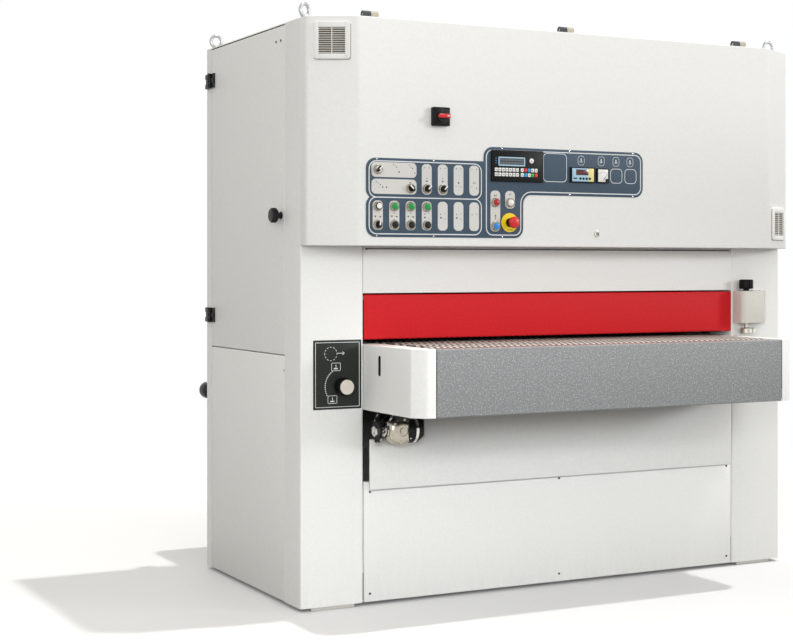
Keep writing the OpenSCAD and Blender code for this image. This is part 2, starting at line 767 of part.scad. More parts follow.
// Motor that turns the table jacks, and the chain between their sprockets
module lift_drive() color("dimgray") {
    rod_z(floor_top, floor_top + lift_motor_h, motor_bars[0], -bar_y + lift_motor_r + 5, lift_motor_r);
    translate([0, 0, floor_top + 6]) linear_extrude(6) {
        loop([-jack_x, jack_y], [jack_x, jack_y], jack_sprocket_r + pass_fit, chain_t);
    }
}
module jack_screw() {
    rod_z(cross_z + 2, floor_top + eps, jack_x, jack_y, jack_journal_r);
    rod_z(floor_top, floor_top + 4, jack_x, jack_y, jack_r + 12);
    rod_z(floor_top + 4, floor_top + 14, jack_x, jack_y, jack_sprocket_r);
    rod_z(floor_top + 14, jack_top, jack_x, jack_y, jack_r);
}
module left_jack_screw() color("silver") mirror([1, 0, 0]) jack_screw();
module right_jack_screw() color("silver") jack_screw();

// Plan of the hood, moved in by the sheet thickness for its inside
module hood_plan(inset, back) {
    side_y = front_y - hood_side + inset * tan((90 - bevel_a) / 2);
    corner_x = half_w - hood_bevel_x - inset * tan(bevel_a / 2);
    side_x = half_w - inset;
    polygon([[-side_x, back], [-side_x, side_y], [-corner_x, hood_face + inset],
        [corner_x, hood_face + inset], [side_x, side_y], [side_x, back]]);
}
// Local frame in the middle of the left bevel, with its outside to -Y
module on_left_bevel() {
    middle = [-half_w + hood_bevel_x / 2, front_y - hood_side - hood_bevel_y / 2, 0];
    translate(middle) rotate(-bevel_a) children();
}
// Square louvre: a raised frame with slats over an opening
module louvre_frame_block(z) {
    translate([-louvre_frame / 2, -4, z - louvre_frame / 2]) cube([louvre_frame, 4 + eps, louvre_frame]);
}
module louvre_cut(z) {
    slats = 7;
    pitch = louvre_w / slats;
    for (i = [0:slats - 1]) {
        translate([-louvre_w / 2, -10, z - louvre_w / 2 + i * pitch]) cube([louvre_w, 20, pitch - 4]);
    }
}
module hood_knuckle(x) difference() {
    union() {
        rod_x(x, x + knuckle_w, front_y, hood_axis_z, knuckle_r);
        block([x, front_y - knuckle_r - 2, roof_z + seam],
            [x + knuckle_w, front_y - hood_seal - eps, hood_axis_z]);
    }
    rod_x(x - eps, x + knuckle_w + eps, front_y, hood_axis_z, hood_pin_r + run_fit);
}
// Thin cut across the sheet, which parts two walls at a bend
module bend_slit(place, angle) {
    translate(place) rotate(angle) square([4 * hood_t, seam], center = true);
}
// Face, bevels and sides of the hood, each a flat sheet between the top and bottom plates
module hood_walls() {
    wall_low = hood_bottom + hood_t + seam;
    wall_top = roof_z - hood_t - seam;
    translate([0, 0, wall_low]) linear_extrude(wall_top - wall_low) difference() {
        hood_plan(0, front_y - hood_seal);
        hood_plan(hood_t, front_y + eps);
        both_sides() {
            bend_slit([half_w - hood_bevel_x, hood_face], 90 + bevel_a / 2);
            bend_slit([half_w, front_y - hood_side], 135 + bevel_a / 2);
        }
    }
}
module hood() color("whitesmoke") {
    for (z = [hood_bottom, roof_z - hood_t]) {
        translate([0, 0, z]) linear_extrude(hood_t) hood_plan(0, front_y - hood_seal);
    }
    for (x = hood_hinge_x) {
        hood_knuckle(x);
    }
    difference() {
        union() {
            hood_walls();
            on_left_bevel() louvre_frame_block(louvre_left_h);
            mirror([1, 0, 0]) on_left_bevel() louvre_frame_block(louvre_right_h);
        }
        on_left_bevel() louvre_cut(louvre_left_h);
        mirror([1, 0, 0]) on_left_bevel() louvre_cut(louvre_right_h);
        for (c = controls) {
            rod_y(hood_face - eps, hood_face + hood_t + eps, c.x, c.y, control_r);
        }
        rod_y(hood_face - eps, hood_face + hood_t + eps, lock_x, lock_h, lock_r + run_fit);
    }
}
module hood_lock() color("silver") {
    rod_y(hood_face - 5, hood_face, lock_x, lock_h, lock_r + 3);
    rod_y(hood_face - eps, hood_face + 16, lock_x, lock_h, lock_r);
    block([lock_x - 7, hood_face + 12, lock_h - lock_r], [lock_x + 7, hood_face + 16, lock_h + 30]);
}

// Outline of the control panel: two stacked blocks, an arm for the display and a leg for the stop button
module panel_outline() {
    rounded([panel_left, panel_low], [panel_step + panel_r, panel_waist], panel_r);
    rounded([panel_left, panel_waist], [panel_step + panel_r, panel_top_left], panel_r);
    translate([panel_left + panel_r, panel_waist - panel_r]) square([panel_step - panel_left, 2 * panel_r]);
    rounded([panel_step, panel_low], [panel_leg, panel_top_right], panel_r);
    translate([panel_step, panel_low]) square([panel_r, panel_top_left - panel_low]);
    rounded([panel_step, panel_arm], [panel_right, panel_top_right], panel_r);
    translate([panel_leg - eps, panel_arm - panel_r]) difference() {
        square([panel_r + eps, panel_r + eps]);
        translate([panel_r + eps, 0]) circle(panel_r);
    }
}
module control_panel() color([0.27, 0.32, 0.38]) difference() {
    on_front(hood_face, panel_t) panel_outline();
    for (c = controls) {
        rod_y(panel_face - eps, hood_face + eps, c.x, c.y, control_r);
    }
}
// Display, meters and lamps on the panel, and the isolator's base on the hood
module panel_instruments() color([0.1, 0.1, 0.1]) {
    proud = 8;
    arm_h = panel_top_right - panel_arm;
    block([panel_step + panel_arm_w * 0.04, panel_face - proud, panel_arm + arm_h * 0.25],
        [panel_step + panel_arm_w * 0.355, panel_face, panel_arm + arm_h * 0.94]);
    block([panel_step + panel_arm_w * 0.525, panel_face - proud, panel_arm + arm_h * 0.275],
        [panel_step + panel_arm_w * 0.68, panel_face, panel_arm + arm_h * 0.62]);
    block([panel_step + panel_arm_w * 0.692, panel_face - proud, panel_arm + arm_h * 0.28],
        [panel_step + panel_arm_w * 0.77, panel_face, panel_arm + arm_h * 0.61]);
    for (x = [lamp_x, lamp_x + lamp_step]) {
        rod_y(panel_face - button_out, panel_face, x, lamp_h, control_r);
    }
    difference() {
        block([isolator_x - isolator_w / 2, hood_face - isolator_d, isolator_h - isolator_w / 2],
            [isolator_x + isolator_w / 2, hood_face, isolator_h + isolator_w / 2]);
        rod_y(hood_face - isolator_d - eps, hood_face - 6, isolator_x, isolator_h, 8 + run_fit);
    }
}
module isolator_handle() color("red") {
    face = hood_face - isolator_d;
    reach = isolator_w * 0.4;
    rod_y(face - 8, face, isolator_x, isolator_h, isolator_w / 3);
    rod_y(face - eps, hood_face - 7, isolator_x, isolator_h, 8);
    block([isolator_x - reach, face - 22, isolator_h - 8], [isolator_x + reach, face - 7, isolator_h + 8]);
}

// Push button and selector, let through panel and hood
module button_body(place) {
    rod_y(panel_face - button_out, hood_face + hood_t + 12, place.x, place.y, control_body_r);
}
module selector_body(place) {
    rod_y(panel_face - 8, hood_face + hood_t + 12, place.x, place.y, control_body_r);
    block([place.x - 4, panel_face - 18, place.y - control_body_r],
        [place.x + 4, panel_face - 7, place.y + control_body_r]);
}
module green_button_1() color("green") button_body(controls[0]);
module green_button_2() color("green") button_body(controls[1]);
module green_button_3() color("green") button_body(controls[2]);
module black_button_1() color([0.1, 0.1, 0.1]) button_body(controls[3]);
module black_button_2() color([0.1, 0.1, 0.1]) button_body(controls[4]);
module black_button_3() color([0.1, 0.1, 0.1]) button_body(controls[5]);
module white_button() color("white") button_body(controls[6]);
module selector_5() color([0.1, 0.1, 0.1]) selector_body(controls[7]);
module selector_1() color("silver") selector_body(controls[8]);
module selector_2() color([0.1, 0.1, 0.1]) selector_body(controls[9]);
module selector_3() color([0.1, 0.1, 0.1]) selector_body(controls[10]);
module selector_4() color([0.1, 0.1, 0.1]) selector_body(controls[11]);
module blue_button() color("dodgerblue") button_body(controls[12]);
module emergency_stop() color("red") {
    rod_y(panel_face - 26, hood_face + hood_t + 12, estop_x, estop_h, control_body_r);
    rod_y(panel_face - 42, panel_face - 22, estop_x, estop_h, 20);
}

// Door pan with its two hinge barrels
module left_door() color("whitesmoke") difference() {
    union() {
        difference() {
            block([-half_w, door_front, door_bottom], [-half_w + door_fold, door_rear, door_top]);
            block([-half_w + sheet, door_front + sheet, door_bottom + sheet],
                [-half_w + door_fold + eps, door_rear - sheet, door_top - sheet]);
        }
        for (z = [door_hinge_low, door_hinge_high]) {
            barrel = door_hinge_len / 3 - 1;
            rod_z(z - barrel / 2, z + barrel / 2, door_axis_x, door_axis_y, hinge_r);
            block([-half_w - hinge_r, door_rear - 30, z - barrel / 2],
                [-half_w + eps, door_rear, z + barrel / 2]);
        }
    }
    for (z = [door_hinge_low, door_hinge_high]) {
        rod_z(z - door_hinge_len, z + door_hinge_len, door_axis_x, door_axis_y, door_pin_r + run_fit);
    }
    rod_x(-half_w - eps, -half_w + sheet + eps, latch_y, latch_h, latch_pin_r + run_fit);
}
module door_latch_knob() color([0.1, 0.1, 0.1]) {
    rod_x(-half_w - latch_out, -half_w - 14, latch_y, latch_h, latch_d / 2);
    rod_x(-half_w - 15, -half_w, latch_y, latch_h, 11);
    rod_x(-half_w - eps, -half_w + door_fold - 4, latch_y, latch_h, latch_pin_r);
    block([-half_w + door_fold - 8, latch_y - 8, latch_h - 8],
        [-half_w + door_fold - 4, latch_y + 8, latch_h + latch_in - sheet - 5]);
}

module infeed_guard() color("crimson") {
    guard_x = aperture - panel_gap;
    block([-guard_x, front_y, guard_bottom], [guard_x, front_y + guard_t, guard_top]);
    rod_x(-guard_x, guard_x, guard_axis_y, guard_axis_z, guard_tube_r);
    rod_x(-aperture - sheet - 2, aperture + sheet + 2, guard_axis_y, guard_axis_z, guard_pin_r);
}

// Table frame: side plates, bed, cross beams, the aprons' rails, the gearmotor's hanger and the jack arms
module table_frame() color("slategray") {
    plate_end = table_rear - cover_t;
    both_sides() difference() {
        block([side_plate_x, -plate_end, side_plate_bottom], [side_plate_out, plate_end, side_plate_top]);
        for (y = [-roller_y, roller_y]) {
            rod_x(side_plate_x - eps, side_plate_out + eps, y, roller_z, roller_shaft_r + run_fit);
        }
    }
    bed_y = roller_y - 40;
    bed_x = side_plate_x - seam;
    bed_under = bed_top - 12;
    block([-bed_x, -bed_y, bed_under], [bed_x, bed_y, bed_top]);
    for (y = [-0.63, 0, 0.63] * bed_y) {
        block([-bed_x, y - 30, belt_under + belt_t + 8], [bed_x, y + 30, bed_under - seam]);
    }
    front_and_rear() {
        block([-bed_x, -apron_back - apron_rail, table_bottom + 4],
            [bed_x, -apron_back, side_plate_bottom + 40]);
    }
    block([-bed_x, feed_y - 30, hanger_under], [-bed_x + 100, apron_back - seam, side_plate_bottom - seam]);
    both_sides() difference() {
        block([side_plate_out + seam, arm_y0, arm_z0], [jack_x + 45, arm_y1, arm_z1]);
        rod_z(arm_z0 - eps, arm_z1 + eps, jack_x, jack_y, jack_r + run_fit);
    }
}
// Plan of a bevelled end cap, moved in by the cover thickness for its inside
module cap_plan(inset, inner_x) {
    bend = inset * tan(22.5);
    out_x = table_half - inset;
    end_y = table_rear - inset;
    straight = table_rear - table_bevel - bend;
    polygon([[inner_x, -end_y], [table_half - table_bevel - bend, -end_y], [out_x, -straight],
        [out_x, straight], [table_half - table_bevel - bend, end_y], [inner_x, end_y]]);
}
module table_end_caps() color("whitesmoke") both_sides() difference() {
    translate([0, 0, table_bottom]) linear_extrude(cover_top - table_bottom) cap_plan(0, cap_in);
    translate([0, 0, table_bottom - eps]) linear_extrude(cover_top - table_bottom - cover_t + eps) {
        cap_plan(cover_t, cap_in - eps);
    }
    block([table_half - 20, arm_y0 - 8, arm_z0 - 8], [table_half + eps, arm_y1 + 8, arm_z1 + 8]);
    along_x(table_half - 20, table_half + eps) {
        slot_y = front_y - table_out * 0.31;
        rounded([slot_y - slot_w / 2, cover_top - slot_drop - slot_len],
            [slot_y + slot_w / 2, cover_top - slot_drop], slot_w / 2 - 0.1);
    }
}
module table_fascias() color("gray") front_and_rear() {
    top = cover_top - 1;
    block([-cap_in, table_front, table_bottom], [cap_in, table_front + cover_t, top]);
    block([-cap_in, table_front + cover_t, top - cover_t], [cap_in, table_front + fascia_lip, top]);
}
module table_apron() color("whitesmoke") difference() {
    front_and_rear() {
        block([-aperture + apron_left, -apron_back, apron_bottom],
            [aperture - apron_right, -apron_back + sheet, side_plate_bottom]);
    }
    block([-aperture, apron_back - sheet - eps, apron_cut_h],
        [apron_cut_x, apron_back + eps, side_plate_bottom + eps]);
}
module conveyor_belt() color([0.35, 0.36, 0.37]) {
    along_x(-belt_w / 2, belt_w / 2) loop([-roller_y, roller_z], [roller_y, roller_z], roller_r, belt_t);
}
module table_roller(y, left_end) {
    rod_x(-belt_w / 2 + 5, belt_w / 2 - 5, y, roller_z, roller_r - pass_fit);
    rod_x(left_end, side_plate_out + 12, y, roller_z, roller_shaft_r);
}
module drive_roller() color("darkgray") {
    table_roller(-roller_y, sprocket_x - 4);
    rod_x(sprocket_x, sprocket_x + sprocket_w, -roller_y, roller_z, feed_sprocket_r);
}
module idler_roller() color("darkgray") table_roller(roller_y, -side_plate_out - 12);

// Gearmotor with a stepped round flange, hung under the table, and the chain to the drive roller
module feed_gearmotor() color("silver") {
    difference() {
        union() {
            rod_y(feed_y - feed_case_d / 2, feed_y + feed_case_d / 2, feed_case_x, feed_h, feed_r);
            rod_x(feed_x, feed_case_x, feed_y, feed_h, feed_collar_r);
            rod_x(feed_case_x, feed_cap_x + eps, feed_y, feed_h, feed_r - 7);
            rod_x(feed_cap_x, feed_cap_x + feed_cap_l, feed_y, feed_h, feed_r - 15);
            block([feed_case_x - feed_lug_w / 3, feed_y - feed_lug_d / 2, feed_h],
                [feed_case_x + feed_lug_w * 2 / 3, feed_y + feed_lug_d / 2, hanger_under]);
        }
        rod_x(feed_x - eps, feed_x + feed_bore, feed_y, feed_h, feed_shaft_r + run_fit);
    }
    along_x(sprocket_x + 1, sprocket_x + sprocket_w - 1) {
        slanted_loop([-roller_y, roller_z], [feed_y, feed_h], feed_sprocket_r + pass_fit, chain_t);
    }
}
module feed_sprocket() color("silver") {
    rod_x(sprocket_x - 1, feed_x + feed_bore - 2, feed_y, feed_h, feed_shaft_r);
    rod_x(sprocket_x, sprocket_x + sprocket_w, feed_y, feed_h, feed_sprocket_r);
    translate([sprocket_x - 8, feed_y, feed_h]) rotate([0, 90, 0]) cylinder(h = 9,
        r = feed_shaft_r + 4, $fn = 6);
}

// Thickness gauge on the right post: housing, adjusting knob and sprung foot
module gauge_housing() color("gainsboro") difference() {
    translate([0, 0, gauge_bottom]) linear_extrude(gauge_top - gauge_bottom) {
        translate([gauge_x + gauge_r, front_y - gauge_d]) square([gauge_w - gauge_r, gauge_d]);
        translate([gauge_x, front_y - gauge_d + gauge_r]) square([gauge_r + eps, gauge_d - gauge_r]);
        translate([gauge_x + gauge_r, front_y - gauge_d + gauge_r]) circle(gauge_r);
        polygon([[gauge_x + gauge_w - eps, front_y - gauge_d], [gauge_x + gauge_w, front_y - gauge_d],
            [gauge_x + gauge_w + gauge_bevel, front_y - gauge_d + gauge_bevel],
            [gauge_x + gauge_w + gauge_bevel, front_y], [gauge_x + gauge_w - eps, front_y]]);
    }
    rod_z(gauge_top - 20, gauge_top + eps, gauge_axis_x, gauge_axis_y, gauge_stem_r + run_fit);
    rod_z(gauge_bottom - eps, gauge_bottom + gauge_rod_in + 16, gauge_axis_x,
        gauge_axis_y, gauge_rod_r + run_fit);
}
module gauge_knob() color([0.1, 0.1, 0.1]) {
    rod_z(gauge_top - 18, gauge_top + 8, gauge_axis_x, gauge_axis_y, gauge_stem_r);
    rod_z(gauge_top + 7, gauge_top + 43, gauge_axis_x, gauge_axis_y, 26);
}
module gauge_foot() color("silver") {
    foot_top = gauge_bottom - gauge_foot_h + 3;
    rod_z(foot_top - eps, gauge_bottom + gauge_rod_in, gauge_axis_x, gauge_axis_y, gauge_rod_r);
    rod_z(foot_top - gauge_foot_h, foot_top, gauge_axis_x, gauge_axis_y, gauge_rod_r * 3);
    rod_z(foot_top - gauge_foot_h + 2, foot_top, gauge_axis_x + gauge_rod_r * 4, gauge_axis_y, gauge_stem_r);
}
module speed_knob() color([0.1, 0.1, 0.1]) {
    rod_y(front_y - speed_out, front_y - 4, speed_x, speed_h, speed_d / 2);
    rod_y(front_y - 5, front_y + 20, speed_x, speed_h, speed_pin_r);
}
module regulator_knob() color([0.1, 0.1, 0.1]) {
    rod_y(rear_y + 36, rear_y + regulator_out, -half_w + regulator_in, regulator_h, regulator_d / 2);
    rod_y(rear_y, rear_y + 37, -half_w + regulator_in, regulator_h, 14);
    rod_y(rear_y - 25, rear_y + eps, -half_w + regulator_in, regulator_h, regulator_pin_r);
}

base_frame();
front_columns();
rear_posts();
side_panels();
rear_panels();
roof_panel();
front_panels();
lifting_eyes();
hinge_brackets();
electrical_plate();
head_frame();
abrasive_belt();
main_motor();
drive_belts();
dust_hood();
lift_drive();
gauge_housing();
hood();
control_panel();
panel_instruments();
green_button_1();
green_button_2();
green_button_3();
black_button_1();
black_button_2();
black_button_3();
white_button();
blue_button();
emergency_stop();
selector_1();
selector_2();
selector_3();
selector_4();
selector_5();
isolator_handle();
hood_lock();
left_door();
door_latch_knob();
infeed_guard();
table_frame();
table_end_caps();
table_fascias();
table_apron();
conveyor_belt();
drive_roller();
idler_roller();
feed_gearmotor();
feed_sprocket();
left_jack_screw();
right_jack_screw();
contact_roller();
tension_carriage();
tension_roller();
motor_pulley();
infeed_pressure_roller();
outfeed_pressure_roller();
speed_knob();
gauge_knob();
gauge_foot();
regulator_knob();
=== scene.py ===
"""Looks of a wide belt sander, built around its solids.

The frame is the part's own: metres, +Z up, the infeed front faces -Y. Sizes below are in millimetres.
"""
import json
import math
from itertools import product

import bmesh
import bpy
from mathutils import Matrix, Vector


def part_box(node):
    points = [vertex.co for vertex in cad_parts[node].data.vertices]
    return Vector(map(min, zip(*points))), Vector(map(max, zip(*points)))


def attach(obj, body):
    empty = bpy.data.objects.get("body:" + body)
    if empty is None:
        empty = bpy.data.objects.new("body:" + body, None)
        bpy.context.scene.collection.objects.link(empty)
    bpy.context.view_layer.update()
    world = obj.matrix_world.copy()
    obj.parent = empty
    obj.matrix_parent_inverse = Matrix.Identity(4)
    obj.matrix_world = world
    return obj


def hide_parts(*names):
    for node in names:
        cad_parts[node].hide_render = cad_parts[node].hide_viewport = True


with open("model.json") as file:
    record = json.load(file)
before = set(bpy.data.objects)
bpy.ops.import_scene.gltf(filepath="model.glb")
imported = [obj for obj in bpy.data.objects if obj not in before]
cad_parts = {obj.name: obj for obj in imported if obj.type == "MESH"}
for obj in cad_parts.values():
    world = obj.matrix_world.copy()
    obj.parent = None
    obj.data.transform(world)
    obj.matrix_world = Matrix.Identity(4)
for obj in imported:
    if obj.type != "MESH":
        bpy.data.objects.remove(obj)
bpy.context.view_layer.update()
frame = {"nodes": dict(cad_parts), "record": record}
scene = bpy.context.scene
MM = 0.001

# Main sizes of the machine
HALF_W, FRONT, REAR = 1005.0, -438.0, 438.0
FOOT, ROOF, SHEET, GAP = 12.0, 1950.0, 4.0, 3.0
PASSAGE = 776.0
WIDE, UNDER_ROOF = PASSAGE - GAP, ROOF - SHEET
DOOR_FRONT, DOOR_REAR = FRONT + 132, REAR - 56
DOOR_HINGES, DOOR_PIN = (954, 1827), (-1014, 383.5)
HOOD_LOW, HOOD_FACE, HOOD_SIDE, HOOD_CORNER = 1202.0, -559.5, -482.0, 854.0
HOOD_HINGES, HINGE_AXIS, KNUCKLE = (-780, 0, 780), ROOF + 27, 28
PANEL_FACE = -562.5
TABLE_X, TABLE_Y, TABLE_LOW, TABLE_TOP = 771.5, 809.0, 656.0, 874.0
X, Y, Z = Vector((1, 0, 0)), Vector((0, 1, 0)), Vector((0, 0, 1))
RUN = {"x": X, "y": Y, "z": Z}
TO_RIGHT, TO_REAR = (-1, 1, 1), (1, -1, 1)
CREASE = 32.0


def mm(*point):
    return Vector(point) * MM


def by(at, *step):
    """A point some way from another."""
    return tuple(a + s for a, s in zip(at, step))


def round_turns(count, start=0.0):
    """Even turns round an axis, in degrees."""
    return [start + i * 360 / count for i in range(count)]


def circle(radius, turns):
    """Points on a circle, one for each turn."""
    angles = [math.radians(turn) for turn in turns]
    return [(radius * math.cos(angle), radius * math.sin(angle)) for angle in angles]


# Shader maths


class Wire:
    """One socket of a node tree, so that shader maths reads as plain expressions."""

    def __init__(self, nodes, socket):
        self.nodes = nodes
        self.socket = socket

    def math(self, operation, other=0.0, first=None, clamp=False):
        values = {0: self, 1: other} if first is None else {0: first, 1: self}
        return self.nodes.add("ShaderNodeMath", {"operation": operation, "use_clamp": clamp}, values)

    def __add__(self, other):
        return self.math("ADD", other)

    __radd__ = __add__

    def __sub__(self, other):
        return self.math("SUBTRACT", other)

    def __rsub__(self, other):
        return self.math("SUBTRACT", first=other)

    def __mul__(self, other):
        return self.math("MULTIPLY", other)

    __rmul__ = __mul__

    def __truediv__(self, other):
        return self.math("DIVIDE", other)

    def __gt__(self, other):
        return self.math("GREATER_THAN", other)

    def __lt__(self, other):
        return self.math("LESS_THAN", other)

    def clamp(self):
        return self.math("ADD", 0.0, clamp=True)


class Nodes:
    """A node tree with one way to add a node: type, settings, and the values or links of its sockets."""

    def __init__(self, tree):
        self.tree = tree

    def add(self, kind, settings=None, values=None, out=0):
        node = self.tree.nodes.new(kind)
        for key, value in (settings or {}).items():
            setattr(node, key, value)
        for key, value in (values or {}).items():
            if isinstance(value, Wire):
                self.tree.links.new(value.socket, node.inputs[key])
            else:
                node.inputs[key].default_value = value
        return Wire(self, node.outputs[out])

    def seen(self):
        """One where the camera, a mirror or a clear piece looks, zero where light is gathered."""
        rays = ("Is Camera Ray", "Is Glossy Ray", "Is Transmission Ray")
        first, second, third = [self.add("ShaderNodeLightPath", out=ray) for ray in rays]
        return (first + second + third).clamp()

    def glow(self, kind, colour, strength):
        return self.add(kind, None, {"Color": colour, "Strength": strength})

    def either(self, factor, first, second):
        return self.add("ShaderNodeMixShader", None, {0: factor, 1: first, 2: second})

    def show(self, output, shader):
        self.tree.links.new(shader.socket, self.tree.nodes[output].inputs["Surface"])


class Finish(Nodes):
    """A procedural material; place is the position on the machine in metres."""

    def __init__(self, name, **fixed):
        self.material = bpy.data.materials.new(name)
        self.material.use_nodes = True
        super().__init__(self.material.node_tree)
        self.shader = self.tree.nodes["Principled BSDF"]
        for socket, value in fixed.items():
            self.shader.inputs[socket.replace("_", " ")].default_value = value
        self.place = self.add("ShaderNodeTexCoord", out="Object")

    def feed(self, **wires):
        for socket, wire in wires.items():
            self.tree.links.new(wire.socket, self.shader.inputs[socket.replace("_", " ")])
        return self

    def stretched(self, scale):
        return self.add("ShaderNodeMapping", None, {"Vector": self.place, "Scale": scale})

    def noise(self, scale, detail=2.0, at=None):
        values = {"Vector": at or self.place, "Scale": scale, "Detail": detail}
        return self.add("ShaderNodeTexNoise", None, values, "Fac")

    def mix(self, factor, first, second):
        return self.add("ShaderNodeMix", {"data_type": "RGBA"}, {0: factor, 6: first, 7: second}, 2)

    def axis(self, name):
        return self.add("ShaderNodeSeparateXYZ", None, {"Vector": self.place}, name)

    def bump(self, height, strength, distance):
        values = {"Height": height, "Strength": strength, "Distance": distance}
        return self.feed(Normal=self.add("ShaderNodeBump", None, values))


def shade(colour, factor=1.0):
    """A colour as it looks on screen, 0 to 255, made linear and then lighter or darker."""
    parts = [c / 255 for c in colour]
    linear = [p / 12.92 if p <= 0.04045 else ((p + 0.055) / 1.055) ** 2.4 for p in parts]
    return tuple(min(1.0, c * factor) for c in linear) + (1.0,)


def sheet_paint(name, colour, gloss=0.40, grain_amount=0.035, soil=0.12, shine=0.35):
    """Powder-coated sheet: fine orange peel, faint clouding, and a little dust above the floor."""
    finish = Finish(name, Specular_IOR_Level=shine)
    cloud = finish.noise(1.7, 3.0)
    peel = finish.noise(620.0, 1.0)
    grain = finish.noise(1500.0, 2.0)
    low = (1.0 - finish.axis("Z") / 0.30).clamp()
    streak = finish.noise(9.0, 4.0, finish.stretched((6.0, 6.0, 0.8)))
    soiled = (low * low * streak * 2.0 * soil).clamp()
    mottle = finish.noise(105.0, 3.0)
    body = finish.mix(cloud, shade(colour, 0.975), shade(colour, 1.015))
    body = finish.mix((grain - 0.5) * grain_amount * 10.0 + 0.5, shade(colour, 1.0 - grain_amount), body)
    body = finish.mix(((mottle - 0.36) * 3.4).clamp(), shade(colour, 1.0 - grain_amount * 1.5), body)
    body = finish.mix(soiled, body, shade(colour, 0.55))
    finish.feed(Base_Color=body, Roughness=gloss + cloud * 0.06 + grain * 0.06)
    return finish.bump(peel * 0.7 + grain * 0.3, 0.10, 0.0006)


def speckled_paint(name, colour):
    """Structured metallic paint: light and dark flecks a few millimetres across."""
    finish = Finish(name, Specular_IOR_Level=0.3)
    fleck = finish.noise(210.0, 4.0)
    fine = finish.noise(900.0, 2.0)
    cloud = finish.noise(2.2, 3.0)
    body = finish.mix(((fleck - 0.50) * 7.0).clamp(), shade(colour, 0.92), shade(colour, 1.65))
    body = finish.mix(((0.46 - fine) * 6.0).clamp() * 0.6, body, shade(colour, 0.70))
    body = finish.mix(cloud * 0.25, body, shade(colour, 0.86))
    finish.feed(Base_Color=body, Roughness=0.46 - fleck * 0.10 + cloud * 0.08)
    return finish.bump(fleck * 0.6 + fine * 0.4, 0.22, 0.0008)


def moulded_plastic(name, colour, gloss=0.45, texture=0.18, shine=0.5):
    """Moulded plastic: faint spark-eroded texture, slightly uneven gloss and rubbed high spots."""
    finish = Finish(name, Specular_IOR_Level=shine)
    rough = finish.noise(1900.0, 2.0)
    hand = finish.noise(28.0, 3.0)
    body = finish.mix((hand - 0.35).clamp(), shade(colour), shade(colour, 1.22))
    finish.feed(Base_Color=body, Roughness=gloss + (hand - 0.5) * 0.14 + rough * 0.05)
    return finish.bump(rough, texture, 0.0003)


def machined_metal(name, colour, gloss, grain=(1.0, 60.0, 60.0)):
    """Turned or ground metal: fine tool marks across the grain and soft clouding."""
    finish = Finish(name, Metallic=1.0)
    marks = finish.noise(26.0, 4.0, finish.stretched(grain))
    cloud = finish.noise(14.0, 3.0)
    body = finish.mix(marks * 0.6 + cloud * 0.3, shade(colour, 0.80), shade(colour, 1.10))
    finish.feed(Base_Color=body, Roughness=gloss + (marks - 0.5) * 0.12 + cloud * 0.10)
    return finish.bump(marks, 0.10, 0.0004)


def carrier_belt(name, colour):
    """Rough-top belt: rows of slanted ribs that change side from row to row, with painted shade in the pits,
    painted highlights on the crests, and patches of wear.
    """
    finish = Finish(name, Specular_IOR_Level=0.3)
    x, y = finish.axis("X"), finish.axis("Y")
    pitch, row = 0.023, 0.075
    fold = (y / row).math("PINGPONG", 1.0)
    waves = ((x / pitch + fold * 1.2) * math.tau).math("SINE")
    gaps = ((y / row + 0.5).math("FRACT") - 0.5).math("ABSOLUTE")
    height = ((waves * 0.5 + 0.5) * (0.55 + gaps * 1.2)).clamp()
    wear = finish.noise(7.0, 4.0)
    dust = finish.noise(160.0, 3.0)
    # Colour follows rib height: painted shade in the pits and painted highlights on the crests.
    body = finish.mix((height * 2.4 - 0.75).clamp(), shade(colour, 0.07), shade(colour, 1.75))
    body = finish.mix((wear - 0.42).clamp() * 0.8, body, shade((150, 138, 122)))
    body = finish.mix(dust * 0.18, body, shade(colour, 0.55))
    finish.feed(Base_Color=body, Roughness=0.72 + wear * 0.15)
    return finish.bump(height + dust * 0.15, 0.9, 0.0035)


def grit_cloth(name, colour):
    """Abrasive cloth: dense dark grains on a warm backing."""
    finish = Finish(name, Specular_IOR_Level=0.35)
    grain = finish.noise(1300.0, 2.0)
    band = finish.noise(5.0, 3.0, finish.stretched((10.0, 1.0, 0.6)))
    body = finish.mix(((grain - 0.42) * 5.0).clamp(), shade(colour, 0.45), shade(colour, 1.35))
    body = finish.mix(band * 0.3, body, shade(colour, 0.6))
    finish.feed(Base_Color=body, Roughness=0.75 + grain * 0.2)
    return finish.bump(grain, 0.6, 0.0006)


def printed_label(name, colour):
    """Printed film: even colour with a fine screen grain."""
    finish = Finish(name, Specular_IOR_Level=0.4)
    grain = finish.noise(1100.0, 2.0)
    cloud = finish.noise(16.0, 2.0)
    body = finish.mix(cloud * 0.5 + grain * 0.3, shade(colour, 0.93), shade(colour, 1.05))
    finish.feed(Base_Color=body, Roughness=0.35 + grain * 0.10)
    return finish.bump(grain, 0.05, 0.0002)


def lit_display(name, colour, lit, columns, rows, corner, size):
    """Dark display window with faint rows of lit cells."""
    finish = Finish(name, Specular_IOR_Level=0.6, Emission_Strength=0.25)
    across = (finish.axis("X") - corner[0] * MM) / (size[0] * MM)
    up = (finish.axis("Z") - corner[1] * MM) / (size[1] * MM)
    cell_x = (across * columns).math("FRACT")
    cell_y = (up * rows).math("FRACT")
    dots = finish.noise(1400.0, 1.0)
    inside = (cell_x > 0.22) * (cell_x < 0.82) * (cell_y > 0.22) * (cell_y < 0.8) * (dots > 0.48)
    body = finish.mix(inside * 0.8, shade(colour), shade(lit))
    glow = finish.mix(inside, (0.0, 0.0, 0.0, 1.0), shade(lit))
    return finish.feed(Base_Color=body, Emission_Color=glow, Roughness=0.12 + dots * 0.08)


